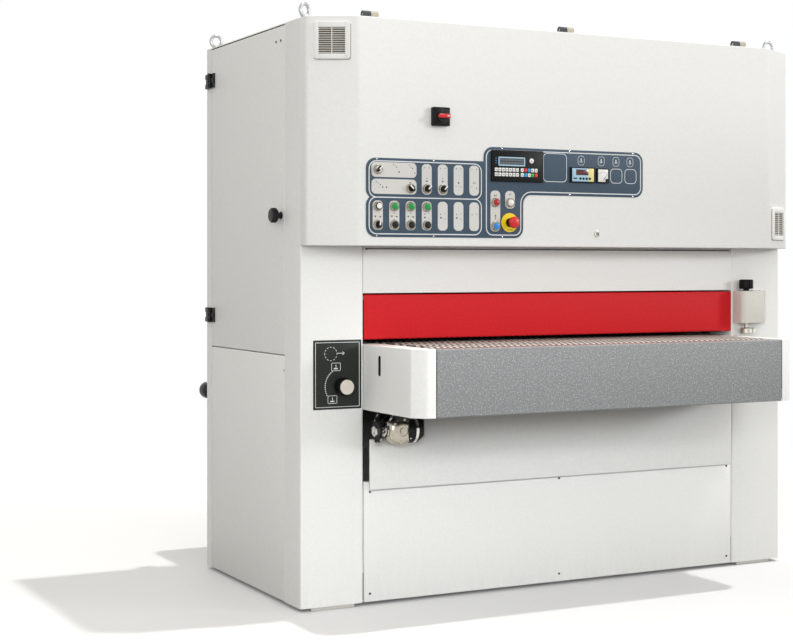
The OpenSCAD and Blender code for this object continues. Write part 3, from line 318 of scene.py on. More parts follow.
white_paint = sheet_paint("white_powder_coat", (240, 240, 238))
pale_paint = sheet_paint("pale_grey_powder_coat", (214, 212, 205))
slate_paint = sheet_paint("slate_panel_paint", (73, 89, 105), 0.50, 0.08, 0.0, 0.2)
# The speed plate's slate, darkened to near black: painted shade of the table's shadow.
slate_with_painted_shade = sheet_paint("slate_plate_painted_shade", (42, 45, 43), 0.30, 0.10, 0.0, 0.2)
grey_paint = speckled_paint("grey_fleck_paint", (138, 140, 141))
lip_paint = sheet_paint("satin_lip_paint", (150, 146, 142), 0.20, 0.06, 0.0, 0.6)
red_paint = sheet_paint("red_guard_paint", (213, 28, 36), 0.48, 0.10, 0.0, 0.18)
dark_paint = sheet_paint("dark_frame_paint", (62, 65, 68), 0.48, 0.08, 0.3)
machine_paint = sheet_paint("blue_grey_casting_paint", (96, 110, 124), 0.46, 0.08, 0.3)
bracket_paint = sheet_paint("bracket_paint", (184, 178, 162), 0.45, 0.06, 0.0)
steel = machined_metal("ground_steel", (186, 187, 188), 0.34)
bright = machined_metal("polished_steel", (226, 224, 219), 0.14, (1.0, 40.0, 40.0))
zinc = machined_metal("zinc_plated_steel", (196, 192, 182), 0.38, (8.0, 8.0, 30.0))
dark_steel = machined_metal("oiled_steel", (64, 62, 60), 0.42)
# Warm plating for the gearmotor case and collar, darkened to stand in for reflections of darker surroundings:
# a painted reflection.
plating_with_painted_reflection = machined_metal("plating_painted_dark_reflection", (188, 181, 166), 0.16, (30.0, 6.0, 30.0))
bezel_metal = machined_metal("nickel_bezel", (172, 164, 148), 0.22, (8.0, 8.0, 30.0))
black_plastic = moulded_plastic("black_plastic", (24, 24, 25), 0.40, 0.15, 0.22)
jet_plastic = moulded_plastic("jet_plastic", (12, 12, 13), 0.40, 0.10, 0.16)
soft_black = moulded_plastic("black_rubber", (30, 30, 31), 0.70, 0.35)
green_plastic = moulded_plastic("green_plastic", (16, 140, 62), 0.24, 0.05)
red_plastic = moulded_plastic("red_plastic", (206, 32, 34), 0.26, 0.05)
lamp_red = moulded_plastic("red_lens", (170, 16, 24), 0.14, 0.03)
lamp_white = moulded_plastic("white_lens", (226, 224, 220), 0.16, 0.03)
blue_plastic = moulded_plastic("blue_plastic", (28, 128, 208), 0.22, 0.05)
white_plastic = moulded_plastic("white_plastic", (232, 231, 228), 0.30, 0.05)
yellow_plastic = moulded_plastic("yellow_plastic", (246, 214, 22), 0.34, 0.06)
beige_plastic = moulded_plastic("beige_plastic", (216, 210, 198), 0.36, 0.08)
duct_grey = moulded_plastic("duct_plastic", (150, 154, 158), 0.55, 0.20)
# Grey for the rim that shows as a painted shadow round the filter grilles.
painted_shadow_rim = moulded_plastic("painted_shadow_rim_grey", (166, 158, 144), 0.6, 0.2)
belt_rubber = carrier_belt("rough_top_belt", (176, 170, 164))
grit = grit_cloth("abrasive_cloth", (122, 78, 52))
filter_mat = grit_cloth("louvre_filter_mat", (98, 84, 62))
legend = printed_label("legend_film", (213, 211, 207))
line_white = printed_label("white_print", (226, 228, 230))
ink = printed_label("black_print", (34, 34, 36))
pale_blue = printed_label("pale_blue_film", (168, 206, 226))
pale_yellow = printed_label("pale_yellow_film", (238, 222, 150))
dial_white = printed_label("white_dial", (236, 236, 234))
key_red = printed_label("red_key_print", (222, 46, 48))
key_green = printed_label("green_key_print", (58, 168, 72))
key_blue = printed_label("blue_key_print", (52, 150, 214))

SLOT_FINISH = {
    "cabinet_paint": white_paint,
    "panel_paint": slate_paint,
    "table_paint": grey_paint,
    "guard_paint": red_paint,
    "dark_paint": dark_paint,
    "machine_paint": machine_paint,
    "steel": steel,
    "bright_steel": bright,
    "black_plastic": black_plastic,
    "green_plastic": green_plastic,
    "red_plastic": red_plastic,
    "blue_plastic": blue_plastic,
    "white_plastic": white_plastic,
    "belt_rubber": belt_rubber,
    "black_rubber": soft_black,
    "abrasive": grit,
}
NODE_SLOT = {entry["node"]: entry["material_slot"] for entry in frame["record"]["subparts"]}
for node_name, node_object in frame["nodes"].items():
    node_object.data.materials.clear()
    node_object.data.materials.append(SLOT_FINISH[NODE_SLOT[node_name]].material)


# Shapes: each function that makes one returns a bmesh in metres


def rounded(bm, items, radius, segments=3, affect="EDGES"):
    """Rounds edges, or the corners of a flat face."""
    if items and radius:
        bmesh.ops.bevel(bm, geom=items, offset=radius * MM, offset_type="OFFSET", segments=segments,
                        profile=0.5, affect=affect, material=-1, clamp_overlap=affect == "EDGES")


def folds(bm):
    """The edges that join two faces."""
    return [edge for edge in bm.edges if len(edge.link_faces) == 2]


def outward(bm):
    """Turns all faces outwards."""
    bmesh.ops.recalc_face_normals(bm, faces=bm.faces[:])
    return bm


def moved(bm, way):
    bmesh.ops.translate(bm, vec=mm(*way), verts=bm.verts[:])
    return bm


def turned_about(bm, at, way, degrees):
    turn = Matrix.Rotation(math.radians(degrees), 3, way)
    bmesh.ops.rotate(bm, cent=mm(*at), matrix=turn, verts=bm.verts[:])
    return bm


def mirrored(bm, across=TO_RIGHT):
    """The same shape on the other side of the machine's middle."""
    bmesh.ops.scale(bm, vec=across, verts=bm.verts[:])
    bmesh.ops.reverse_faces(bm, faces=bm.faces[:])
    return bm


def pair(bm, across=TO_RIGHT):
    """A shape and its mirror image."""
    return bm, mirrored(bm.copy(), across)


def block(low, high, radius=0.0, segments=3):
    """A block between two corners, its edges rounded."""
    bm = bmesh.new()
    corners = bmesh.ops.create_cube(bm, size=1.0)["verts"]
    low, high = mm(*low), mm(*high)
    bmesh.ops.scale(bm, vec=high - low, verts=corners)
    bmesh.ops.translate(bm, vec=(low + high) / 2, verts=corners)
    rounded(bm, bm.edges[:], radius, segments)
    return bm


def slab(low, high, near, far, radius=0.0, segments=3):
    """A block as seen from the front: two corners in X and Z, between two depths."""
    return block((low[0], near, low[1]), (high[0], far, high[1]), radius, segments)


def pad(at, half, near, far, radius=0.0, segments=3):
    """A slab about its middle."""
    return slab(by(at, -half[0], -half[1]), by(at, *half), near, far, radius, segments)


def ribs(at, axis, low, high, radius, turns):
    """One block, its corners given from a middle, set round that middle at each turn."""
    low, high = by(at, *low), by(at, *high)
    return [turned_about(block(low, high, radius, 2), at, axis, turn) for turn in turns]


def thicken(bm, thickness):
    """Gives a sheet its thickness on the inner side."""
    bm.normal_update()
    bmesh.ops.solidify(bm, geom=bm.faces[:], thickness=thickness * MM)
    return outward(bm)


def open_faces(bm, *ways):
    """Takes away the faces that look some ways."""
    bm.normal_update()
    gone = [face for face in bm.faces if any(face.normal.dot(way) > 0.9 for way in ways)]
    bmesh.ops.delete(bm, geom=gone, context="FACES_ONLY")
    loose = [vert for vert in bm.verts if not vert.link_faces]
    bmesh.ops.delete(bm, geom=loose, context="VERTS")
    return bm


def tray(low, high, way, radius=3.0, thickness=2.5):
    """A sheet pan with folded edges, open towards one side."""
    bm = open_faces(block(low, high), way)
    rounded(bm, folds(bm), radius)
    return thicken(bm, thickness)


def lay(points, run, level):
    """Plan points for a shape that runs along one axis; two points are the corners of a box."""
    if len(points) == 2:
        (left, low), (right, high) = points
        points = [(left, low), (right, low), (right, high), (left, high)]
    axis = "xyz".index(run)
    return [mm(*point[:axis], level, *point[axis:]) for point in points]


def outlined(points, run, level, corner, corners):
    """A flat face with rounded corners: all alike, or some of them by their numbers."""
    bm = bmesh.new()
    verts = [bm.verts.new(place) for place in lay(points, run, level)]
    bm.faces.new(verts)
    for chosen, radius in corners or [(range(len(verts)), corner)]:
        rounded(bm, [verts[i] for i in chosen], radius, 6, "VERTICES")
    return bm


def drawn_out(bm, made, way):
    """Moves what an extrusion made."""
    far = [item for item in made["geom"] if isinstance(item, bmesh.types.BMVert)]
    bmesh.ops.translate(bm, vec=way * MM, verts=far)


def plate(points, run, low, high, corner=0.0, edge=0.0, corners=None):
    """A flat outline with rounded corners, drawn out along one axis; edge rounds its low rim."""
    bm = outlined(points, run, low, corner, corners)
    drawn_out(bm, bmesh.ops.extrude_face_region(bm, geom=bm.faces[:]), RUN[run] * (high - low))
    outward(bm)
    axis = "xyz".index(run)
    rim = [e for e in bm.edges if all(abs(v.co[axis] - low * MM) < 1e-6 for v in e.verts)]
    rounded(bm, rim, edge, 2)
    return bm


def line_loop(points, level, width, corner, height=0.35, corners=None):
    """A printed line that follows a rounded outline on a front face."""
    bm = outlined(points, "y", level, corner, corners)
    inner = bm.faces[:]
    bmesh.ops.inset_region(bm, faces=inner, thickness=width * MM, use_boundary=True, use_even_offset=True)
    bmesh.ops.delete(bm, geom=inner, context="FACES")
    drawn_out(bm, bmesh.ops.extrude_face_region(bm, geom=bm.faces[:]), -Y * height)
    return outward(bm)


def folded(points, run, low, high, bend, thickness, segments=4):
    """A sheet folded along some points and drawn out along one axis; a minus puts it on the other side."""
    bm = bmesh.new()
    verts = [bm.verts.new(place) for place in lay(points, run, low)]
    edges = [bm.edges.new(ends) for ends in zip(verts, verts[1:])]
    drawn_out(bm, bmesh.ops.extrude_edge_only(bm, edges=edges), RUN[run] * (high - low))
    rounded(bm, folds(bm), bend, segments)
    return thicken(bm, thickness)


def cover(plan, low, high, ways, fold, segments, rim):
    """A sheet cover over a plan, open to some sides; its standing folds and its rims are rounded."""
    bm = open_faces(plate(plan, "z", low, high), *ways)
    standing = [edge for edge in folds(bm) if abs(edge.verts[0].co.z - edge.verts[1].co.z) > 0.1]
    rounded(bm, standing, fold, segments)
    rounded(bm, [edge for edge in folds(bm) if edge.calc_face_angle(0) > 1.0], rim)
    return thicken(bm, 2.5)


def turned(profile, at, way, steps=48):
    """A lathe shape: points of radius and length along its axis."""
    bm = bmesh.new()
    verts = [bm.verts.new(mm(radius, 0, along)) for radius, along in profile]
    edges = [bm.edges.new(ends) for ends in zip(verts, verts[1:])]
    bmesh.ops.spin(bm, geom=verts + edges, cent=(0, 0, 0), axis=(0, 0, 1), dvec=(0, 0, 0),
                   angle=math.tau, steps=steps, use_merge=True, use_duplicate=False)
    bmesh.ops.remove_doubles(bm, verts=bm.verts[:], dist=1e-6)
    outward(bm)
    turn = Z.rotation_difference(Vector(way)).to_matrix()
    bmesh.ops.rotate(bm, cent=(0, 0, 0), matrix=turn, verts=bm.verts[:])
    return moved(bm, at)


def rod(radius, start, end, at, way, steps):
    """A plain round bar."""
    return turned([(0, start), (radius, start), (radius, end), (0, end)], at, way, steps)


def tube(inner, outer, start, end, at, way, steps):
    """A plain ring with a wall."""
    wall = [(inner, start), (outer, start), (outer, end), (inner, end), (inner, start)]
    return turned(wall, at, way, steps)


def pan_screw(at, way, radius=4.5):
    """Low round screw head with a dished top."""
    profile = ((1.0, 0), (1.0, 1.0), (0.75, 2.0), (0.35, 2.2), (0.3, 1.2), (0, 1.2))
    return turned([(radius * part, along) for part, along in profile], at, way, 16)


def hex_bolt(at, way, across_flats=13.0):
    """Hexagon bolt head with a chamfered top."""
    radius = across_flats / math.sqrt(3)
    return turned([(radius, 0), (radius, 5), (radius * 0.8, 6.4), (0, 6.4)], at, way, 6)


class Piece:
    """One object of the machine, put together from shapes with their finishes."""

    def __init__(self, name, body, slot):
        self.name, self.body, self.slot = name, body, slot
        self.bm = bmesh.new()
        self.finishes = []

    def add(self, finish, *shapes):
        if finish.material not in self.finishes:
            self.finishes.append(finish.material)
        for shape in shapes:
            for face in shape.faces:
                face.material_index = self.finishes.index(finish.material)
            part = bpy.data.meshes.new("part")
            shape.to_mesh(part)
            shape.free()
            self.bm.from_mesh(part)
            bpy.data.meshes.remove(part)
        return self

    def done(self, *nodes):
        mesh = bpy.data.meshes.new(self.name)
        self.bm.to_mesh(mesh)
        self.bm.free()
        for material in self.finishes:
            mesh.materials.append(material)
        mesh.shade_smooth()
        mesh.set_sharp_from_angle(angle=math.radians(CREASE))
        item = bpy.data.objects.new(self.name, mesh)
        scene.collection.objects.link(item)
        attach(item, self.body)
        if nodes:
            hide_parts(*nodes)


# Cabinet


def build_posts():
    for name, node, depth in (("front_posts", "front_columns", 129), ("rear_posts_skin", "rear_posts", 53)):
        path = [(-HALF_W, FRONT + depth), (-HALF_W, FRONT), (-PASSAGE, FRONT), (-PASSAGE, FRONT + depth)]
        post = folded(path, "z", FOOT, UNDER_ROOF, 6.0, -3.0)
        if node == "rear_posts":
            mirrored(post, TO_REAR)
        Piece(name, "frame", "cabinet_paint").add(white_paint, *pair(post)).done(node)


def build_sides():
    sides = Piece("side_panels_skin", "frame", "cabinet_paint")
    sides.add(white_paint, tray((-HALF_W, DOOR_FRONT, FOOT), (-HALF_W + 18, DOOR_REAR, 835), X),
              tray((HALF_W - 18, DOOR_FRONT, FOOT), (HALF_W, DOOR_REAR, UNDER_ROOF), -X))
    places = product((60, 700, 1340, 1890), (DOOR_FRONT + 22, DOOR_REAR - 22))
    sides.add(zinc, pan_screw((-HALF_W, DOOR_FRONT + 1, 787), -X, 4.0),
              *[pan_screw((HALF_W, back, height), X, 4.0) for height, back in places])
    sides.done("side_panels")


def build_rear_and_roof():
    rear = Piece("rear_panels_skin", "frame", "cabinet_paint")
    for low, high in ((902, UNDER_ROOF), (FOOT, 414)):
        rear.add(white_paint, tray((-WIDE, REAR - 18, low), (WIDE, REAR, high), -Y))
    edge = WIDE - 25
    places = [*product((-edge, -WIDE / 2, WIDE / 2, edge), (925, 1410, 1900))]
    places += product((-edge, 0, edge), (385,))
    rear.add(zinc, *[pan_screw((across, REAR, height), Y) for across, height in places])
    rear.done("rear_panels")

    roof = Piece("roof_skin", "frame", "cabinet_paint")
    roof.add(white_paint, tray((-HALF_W, FRONT, UNDER_ROOF + 0.2), (HALF_W, REAR, ROOF), -Z, 2.0, 1.6))
    roof.add(zinc, block((-610, FRONT + 40, ROOF), (-560, FRONT + 90, ROOF + 10), 2.0))
    roof.done("roof_panel")


def build_front():
    front = Piece("front_panels_skin", "frame", "cabinet_paint")
    low, high, back = 1045, 1192, FRONT + SHEET
    fascia = plate(((-WIDE, low), (WIDE, high)), "y", FRONT, back, edge=1.5, corners=[((2, 3), 20.0)])
    front.add(white_paint, fascia, slab((-WIDE, high - 8), (WIDE, high + 17), back + 0.2, back + 2.8, 0.8))
    # A black strip along the fascia's top edge stands in for the dark gap under the hood: painted shade.
    front.add(ink, slab((-WIDE + 6, high - 1), (WIDE - 6, high + 3.5), FRONT + 1.5, back + 0.1))
    front.add(white_paint, *pair(slab((WIDE - 0.5, low), (PASSAGE - 0.2, high - 3), FRONT + 1.2, back)),
              tray((-WIDE, FRONT, FOOT), (WIDE, FRONT + 20, 414), Y))
    places = product((-WIDE + 22, 0, WIDE - 22), (40, 380))
    front.add(ink, *[pan_screw((across, FRONT, height), -Y, 4.0) for across, height in places])
    front.done("front_panels")


def build_base():
    base = Piece("base_channels", "frame", "dark_paint")
    inner, long, top = REAR - SHEET - 80, HALF_W - SHEET, 112
    webs = [[(edge + 84, 18), (edge + SHEET, 18), (edge + SHEET, top), (edge + 84, top)]
            for edge in (FRONT, -HALF_W)]
    base.add(dark_paint, *pair(folded(webs[0], "x", -long, long, 5.0, 5.0), TO_REAR),
             *pair(folded(webs[1], "y", -inner, inner, 5.0, -5.0)))
    for across, half in ((-835, 35), (835, 35), (440, 30), (680, 30)):
        base.add(dark_paint, block((across - half, -inner, top - 18), (across + half, inner, top), 2.0))
    bolt = [(0, FOOT + 9), (12, FOOT + 9), (15, FOOT + 6), (15, FOOT), (9, FOOT)]
    for across, side in product((-884, 884), (-1, 1)):
        back = side * 353
        base.add(pale_paint, block((across - 79, back - 79, 0), (across + 79, back + 79, FOOT), 1.5))
        base.add(zinc, turned(bolt, (across, side * 310, 0), Z, 6))
    base.done("base_frame")


def build_eyes():
    eyes = Piece("lifting_eye_bolts", "frame", "steel")
    front_left_way = (-0.42, 0.91, 0.0)
    ring = [(21 + out, along) for out, along in circle(6, [*round_turns(16), 360])]
    boss = [(0, 0), (15, 0), (15, 4), (9, 8), (7, 12), (0, 12)]
    for across, back in product((-977, 977), (-410, 410)):
        way = front_left_way if across < 0 and back < 0 else Y
        eyes.add(steel, turned(ring, (across, back, ROOF + 29), way, 40))
        eyes.add(zinc, turned(boss, (across, back, ROOF), Z, 28))
    eyes.done("lifting_eyes")


def louvre(height):
    """Filter grille, seen from -Y: a raised frame over a grey rim set off down and to one side to show as a
    painted shadow, and slats over a tan mat.
    """
    half, rim, depth, slats = 60, 17, -7, 12
    hole = half - rim
    low, high = height - half, height + half
    stiles = (((-half, low), (-hole, high), (0, 3)), ((hole, low), (half, high), (1, 2)))
    rails = (((-hole, low), (hole, height - hole)), ((-hole, height + hole), (hole, high)))
    # A grey rim, shifted down and to one side of the frame, shows there as a painted shadow.
    parts = [(painted_shadow_rim, line_loop(((-half + 1, low - 2.4), (half + 2.4, high - 1)), 0.6, rim, 10.0, 1.6))]
    for *box, outer in stiles:
        parts.append((white_paint, plate(box, "y", depth, 0.6, edge=1.0, corners=[(outer, 10.0)])))
    parts += [(white_paint, plate(box, "y", depth, 0.6, edge=1.0)) for box in rails]
    parts.append((filter_mat, pad((0, height), (hole + 1, hole + 1), -0.6, 0.4)))
    parts.append((white_paint, pad((0, height), (1.4, hole), -5.6, -1.0, 0.4, 2)))
    for i in range(slats):
        middle = height - hole + (i + 0.5) * 2 * hole / slats
        slat = pad((0, middle), (hole, 1.5), -4.9, -1.6, 0.5, 2)
        parts.append((pale_paint, turned_about(slat, (0, -3.2, middle), "X", 30)))
    return parts


def build_hood():
    hood = Piece("hood_skin", "hood", "cabinet_paint")
    left = [(-HALF_W, FRONT - 0.5), (-HALF_W, HOOD_SIDE), (-HOOD_CORNER, HOOD_FACE)]
    plan = left + [(-across, back) for across, back in reversed(left)]
    hood.add(white_paint, cover(plan, HOOD_LOW, ROOF, (Y,), 9.0, 5, 3.5))
    knuckle = [(6.2, 0), (12, 0), (12, KNUCKLE), (6.2, KNUCKLE)]
    for across in HOOD_HINGES:
        hood.add(dark_paint, turned(knuckle, (across, FRONT, HINGE_AXIS), X, 32),
                 block((across, FRONT - 14, ROOF - 1), (across + KNUCKLE, FRONT - 4, ROOF + 24), 1.5))
    hood.done("hood")

    bevel = math.degrees(math.atan2(HOOD_SIDE - HOOD_FACE, HALF_W - HOOD_CORNER))
    middle = (-(HALF_W + HOOD_CORNER) / 2, (HOOD_SIDE + HOOD_FACE) / 2, 0)
    louvres = Piece("hood_louvres", "hood", "cabinet_paint")
    for height, flip in ((1868, False), (1294, True)):
        for finish, part in louvre(height):
            moved(turned_about(part, (0, 0, 0), "Z", -bevel), middle)
            louvres.add(finish, mirrored(part) if flip else part)
    louvres.done()

    lock = Piece("hood_cam_lock", "hood_lock", "bright_steel")
    at = (79.5, HOOD_FACE, 1248)
    ring = [(6, -12), (8, -12), (8, 0), (11.5, 0), (11.5, 3), (10, 4.5), (6.4, 4.5), (6, 3), (6, -12)]
    lock.add(zinc, turned(ring, at, -Y, 36))
    lock.add(black_plastic, turned([(0, -11), (6, -11), (6, 2), (4.6, 3), (0, 3)], at, -Y, 28))
    lock.add(zinc, *ribs(at, "Y", (-1.1, -4.2, -4.4), (1.1, -2.6, 4.4), 0, (30,)),
             block(by(at, -7, 12, -8), by(at, 7, 16, 30), 1.0))
    lock.done("hood_lock")


def build_door():
    door = Piece("side_door_skin", "left_door", "cabinet_paint")
    door.add(white_paint, tray((-HALF_W, DOOR_FRONT, 838), (-HALF_W + 20, DOOR_REAR, 1943), X))
    for height in DOOR_HINGES:
        near, far = (-HALF_W, DOOR_REAR - 34, height), (-HALF_W + 0.5, DOOR_REAR, height)
        knuckle = turned([(5.1, -8.4), (8, -8.4), (8, 8.4), (5.1, 8.4)], (*DOOR_PIN, height), Z, 28)
        door.add(black_plastic, knuckle, block(by(near, -8, 0, -8.4), by(far, 0, -1, 8.4), 2.0),
                 block(by(near, -5, 0, -27), by(far, 0, -8, 27), 1.5))
    door.add(ink, *[pan_screw((-HALF_W, FRONT + back, 1894), -X) for back in (161, 202)])
    door.done("left_door")


def build_brackets():
    """The fixed halves of the door's and the hood's hinges."""
    brackets = Piece("hinge_fittings", "frame", "dark_paint")
    for height in DOOR_HINGES:
        pin, near, far = (*DOOR_PIN, height), (-HALF_W, 384, height), (-HALF_W, 434, height)
        for drop in (-18, 18):
            brackets.add(black_plastic, rod(8, drop - 9, drop + 9, pin, Z, 28),
                         block(by(near, -8, 0, drop - 9), by(far, 0, 0, drop + 9), 2.0))
        brackets.add(black_plastic, block(by(near, -5, 9, -27), by(far, 0, 0, 27), 1.5),
                     *[pan_screw(by(near, -5, 26, rise), -X, 5.0) for rise in (-15, 15)])
        brackets.add(steel, rod(5, -26, 26, pin, Z, 20))
    wedge = [(FRONT + 1, ROOF), (FRONT + 46, ROOF), (FRONT + 8, ROOF + 37), (FRONT - 4, ROOF + 37),
             (FRONT + 1, ROOF + 19)]
    for across in HOOD_HINGES:
        at = (across + KNUCKLE + 0.5, FRONT, HINGE_AXIS)
        brackets.add(bracket_paint, plate(wedge, "x", at[0], at[0] + KNUCKLE), rod(12, 0, KNUCKLE, at, X, 32))
        brackets.add(steel, rod(6, -27, 0, at, X, 20))
    brackets.done("hinge_brackets")


def build_latch():
    latch = Piece("door_latch_grip", "door_latch_knob", "black_plastic")
    at = (-HALF_W, -279, 1306)
    grip = [(0, -16), (6, -16), (6, 0), (13, 0), (13, 3), (10, 6), (10, 14), (21, 17), (24, 21), (24, 35),
            (21, 39), (12, 40), (0, 40)]
    latch.add(black_plastic, turned(grip, at, -X, 40),
              *ribs(at, "X", (-36, -1.4, 22.5), (-20, 1.4, 25), 0.6, round_turns(18)))
    latch.add(zinc, block(by(at, 12, -8, -8), by(at, 16, 8, 16), 1.0))
    latch.done("door_latch_knob")


# Control panel

PANEL_LEFT, PANEL_STEP, PANEL_LEG, PANEL_RIGHT = -825.5, -382.5, -226.5, 274.5
PANEL_LOW, PANEL_WAIST, PANEL_ARM, PANEL_TOP_L, PANEL_TOP_R = 1231.0, 1361.0, 1380.0, 1490.0, 1540.0
COLUMN, COLUMN_STEP, ROW, ROW_STEP = -784.0, 60.5, 1271.5, 60.3


def on_panel(across, height):
    return (across, PANEL_FACE, height)


def spot(column, row):
    """A place in the grid of buttons and selectors."""
    return on_panel(COLUMN + column * COLUMN_STEP, ROW + row * ROW_STEP)


STOP, BLUE = on_panel(-282.0, 1284.0), on_panel(-338.0, ROW)
RED_LAMP, WHITE_LAMP = on_panel(-338.0, 1352.0), on_panel(-280.0, 1352.0)


def build_panel():
    panel = Piece("control_panel_plate", "hood", "panel_paint")
    notch, inset, width = 13.0, 8.5, 3.4
    outline = [(PANEL_LEFT, PANEL_LOW), (PANEL_LEG, PANEL_LOW), (PANEL_LEG, PANEL_ARM),
               (PANEL_RIGHT, PANEL_ARM), (PANEL_RIGHT, PANEL_TOP_R), (PANEL_STEP, PANEL_TOP_R),
               (PANEL_STEP, PANEL_TOP_L), (PANEL_LEFT, PANEL_TOP_L), (PANEL_LEFT, PANEL_WAIST + 15),
               (PANEL_LEFT + notch, PANEL_WAIST), (PANEL_LEFT, PANEL_WAIST - 15)]
    rounds = [((0, 1, 3, 4, 5, 7), 34.0), ((2,), 32.0), ((8, 10), 8.0)]
    panel.add(slate_paint, plate(outline, "y", PANEL_FACE, HOOD_FACE, edge=0.8, corners=rounds))

    upper = (PANEL_WAIST - width / 2, PANEL_TOP_L - inset, 0.35)
    lower = (PANEL_LOW + inset, PANEL_WAIST + width / 2, 0.5)
    for low, high, rise in (upper, lower):
        box = (PANEL_LEFT + inset, low), (PANEL_STEP - inset, high)
        panel.add(line_white, line_loop(box, PANEL_FACE, width, 28.0, rise))
    left, leg, right = PANEL_STEP + inset - 1, PANEL_LEG - inset, PANEL_RIGHT - inset
    low, arm, top = PANEL_LOW + inset, PANEL_ARM + inset, PANEL_TOP_R - inset
    ell = [(left, low), (leg, low), (leg, arm), (right, arm), (right, top), (left, top)]
    rounds = [((0, 1, 3, 4, 5), 26.0), ((2,), 40.0)]
    panel.add(line_white, line_loop(ell, PANEL_FACE, width, 0.0, corners=rounds))
    for *box, corner in (((-146, 1427), (-49, 1526), 16), ((134, 1428), (185, 1480), 15),
                         ((195, 1428), (246, 1480), 15)):
        panel.add(line_white, line_loop(box, PANEL_FACE, 2.0, corner))
    near, far = PANEL_FACE - 0.3, PANEL_FACE + 0.3
    for across in (10.6, 95.2, 158.1, 218.2):
        panel.add(line_white, line_loop(((across - 14, 1488), (across + 14, 1521)), PANEL_FACE, 1.4, 11),
                  pad((across, 1504.5), (2.2, 7.5), near, far), pad((across, 1501.5), (6, 1.5), near, far))
    screws = [*product((-788, -577), (1486, 1235)), *product((-39, 229), (1384,)), (-313, 1536), (-39, 1536),
              (229, 1535), (-311, 1235)]
    panel.add(bright, *[pan_screw(on_panel(*place), -Y, 2.8) for place in screws])
    panel.done("control_panel")


def legend_marks():
    """Groups of dots on the legend plates: a middle, then steps across and up with a radius."""
    heads, pairs = ((-9, 90, 1.7), (9, 90, 1.7)), ((-9, 0, 2.7), (9, -1, 2.7))
    lows = ((-8, 7, 1.8), (8, 9, 1.4), (-7, -5, 3.0), (8, -9, 1.4))
    quads = pairs + ((0, 11, 1.5), (0, -11, 1.5))
    upper = 100 / ROW_STEP
    marks = [(spot(column, upper), heads + ((0, 55, 1.6), (0, 46, 3.0))) for column in (3, 4)]
    marks += [(spot(column, 0.5), lows) for column in (3, 4, 5)]
    return marks + [
        (spot(5, upper), heads + ((0, 43, 3.0), (-9, 31, 1.3), (9, 30, 1.6))),
        (spot(6, upper), heads + ((-4, 43, 1.6), (0, 47, 1.6), (4, 43, 1.6), (-9, 31, 1.3), (9, 27, 2.0))),
        (spot(6, 0.5), lows[:2]), (spot(0, 0.44), pairs), (spot(1, 0.46), quads), (spot(2, 0.46), quads),
        (on_panel(-716, 1457), ((-11, 13, 1.6), (-5, 8, 1.5), (1, 3, 1.8), (10, -12, 2.6), (-51, -7, 2.6))),
        (on_panel(-657, 1457), ((-11, 12, 1.6), (-5, 6, 1.5), (1, 1, 1.8), (10, -14, 2.0))),
        (on_panel(-776, 1402), ((-13, 9, 1.6), (-6, 5, 1.5), (1, 0, 1.8), (10, -8, 2.4), (24, -8, 2.4),
                                (111, 9, 2.0))),
        (RED_LAMP, ((-3, 23, 2.4), (3, 24, 2.0), (0, -46, 3.0), (0, -54, 2.4))),
        (WHITE_LAMP, ((-1, 27, 2.2), (3, 30, 1.4)))]


def build_legends():
    plates = Piece("legend_plates", "hood", "panel_paint")
    half, lamp_half = 18.6, 19
    boxes = [((-807, 1427), (-641, 1476)), ((-807, 1372), (-641, 1421))]
    for columns, low, high in (((3, 4, 5, 6), 1373, 1474), (range(7), 1254, 1350)):
        boxes += [((spot(i, 0)[0] - half, low), (spot(i, 0)[0] + half, high)) for i in columns]
    for lamp, low in ((RED_LAMP, 1253), (WHITE_LAMP, 1332)):
        boxes.append(((lamp[0] - lamp_half, low), (lamp[0] + lamp_half, 1392)))
    plates.add(legend, *[plate(box, "y", PANEL_FACE - 0.8, PANEL_FACE + 0.2, 14.5) for box in boxes])
    plates.add(ink, *[rod(radius, 0, 0.4, by(middle, across, -0.7, rise), -Y, 12)
                      for middle, dots in legend_marks() for across, rise, radius in dots])
    plates.done()

    rings = Piece("control_bezels", "hood", "bright_steel")
    ring = [(12.1, -0.5), (16, -0.5), (16, 4), (14.8, 5.5), (14.8, 8.4), (14, 9.4), (12.1, 9.4), (12.1, -0.5)]
    places = [spot(*cell) for cell in [*product(range(4), (0, 1)), (0, 3), *product((2, 3, 4), (2,))]]
    rings.add(bezel_metal, *[turned(ring, at, -Y, 36) for at in places + [BLUE, RED_LAMP, WHITE_LAMP]])
    rings.done()


def build_buttons():
    push = [(0, -17.5), (11.7, -17.5), (11.7, 10.5), (11.0, 11.8), (9.5, 12.4), (5, 12.9), (0, 13.0)]
    caps = [(f"green_button_{i}", green_plastic, spot(i, 1)) for i in (1, 2, 3)]
    caps += [(f"black_button_{i}", black_plastic, spot(i, 0)) for i in (1, 2, 3)]
    for node, finish, at in caps + [("blue_button", blue_plastic, BLUE)]:
        Piece(node + "_cap", node, NODE_SLOT[node]).add(finish, turned(push, at, -Y, 36)).done(node)
    white = Piece("white_button_cap", "white_button", "white_plastic")
    face = [(0, 12.6), (9.2, 12.4), (9.2, 14.2), (8.4, 15), (4.2, 15), (3.8, 14.2), (0, 14.2)]
    white.add(black_plastic, turned(push, spot(0, 1), -Y, 36))
    white.add(white_plastic, turned(face, spot(0, 1), -Y, 36)).done("white_button")


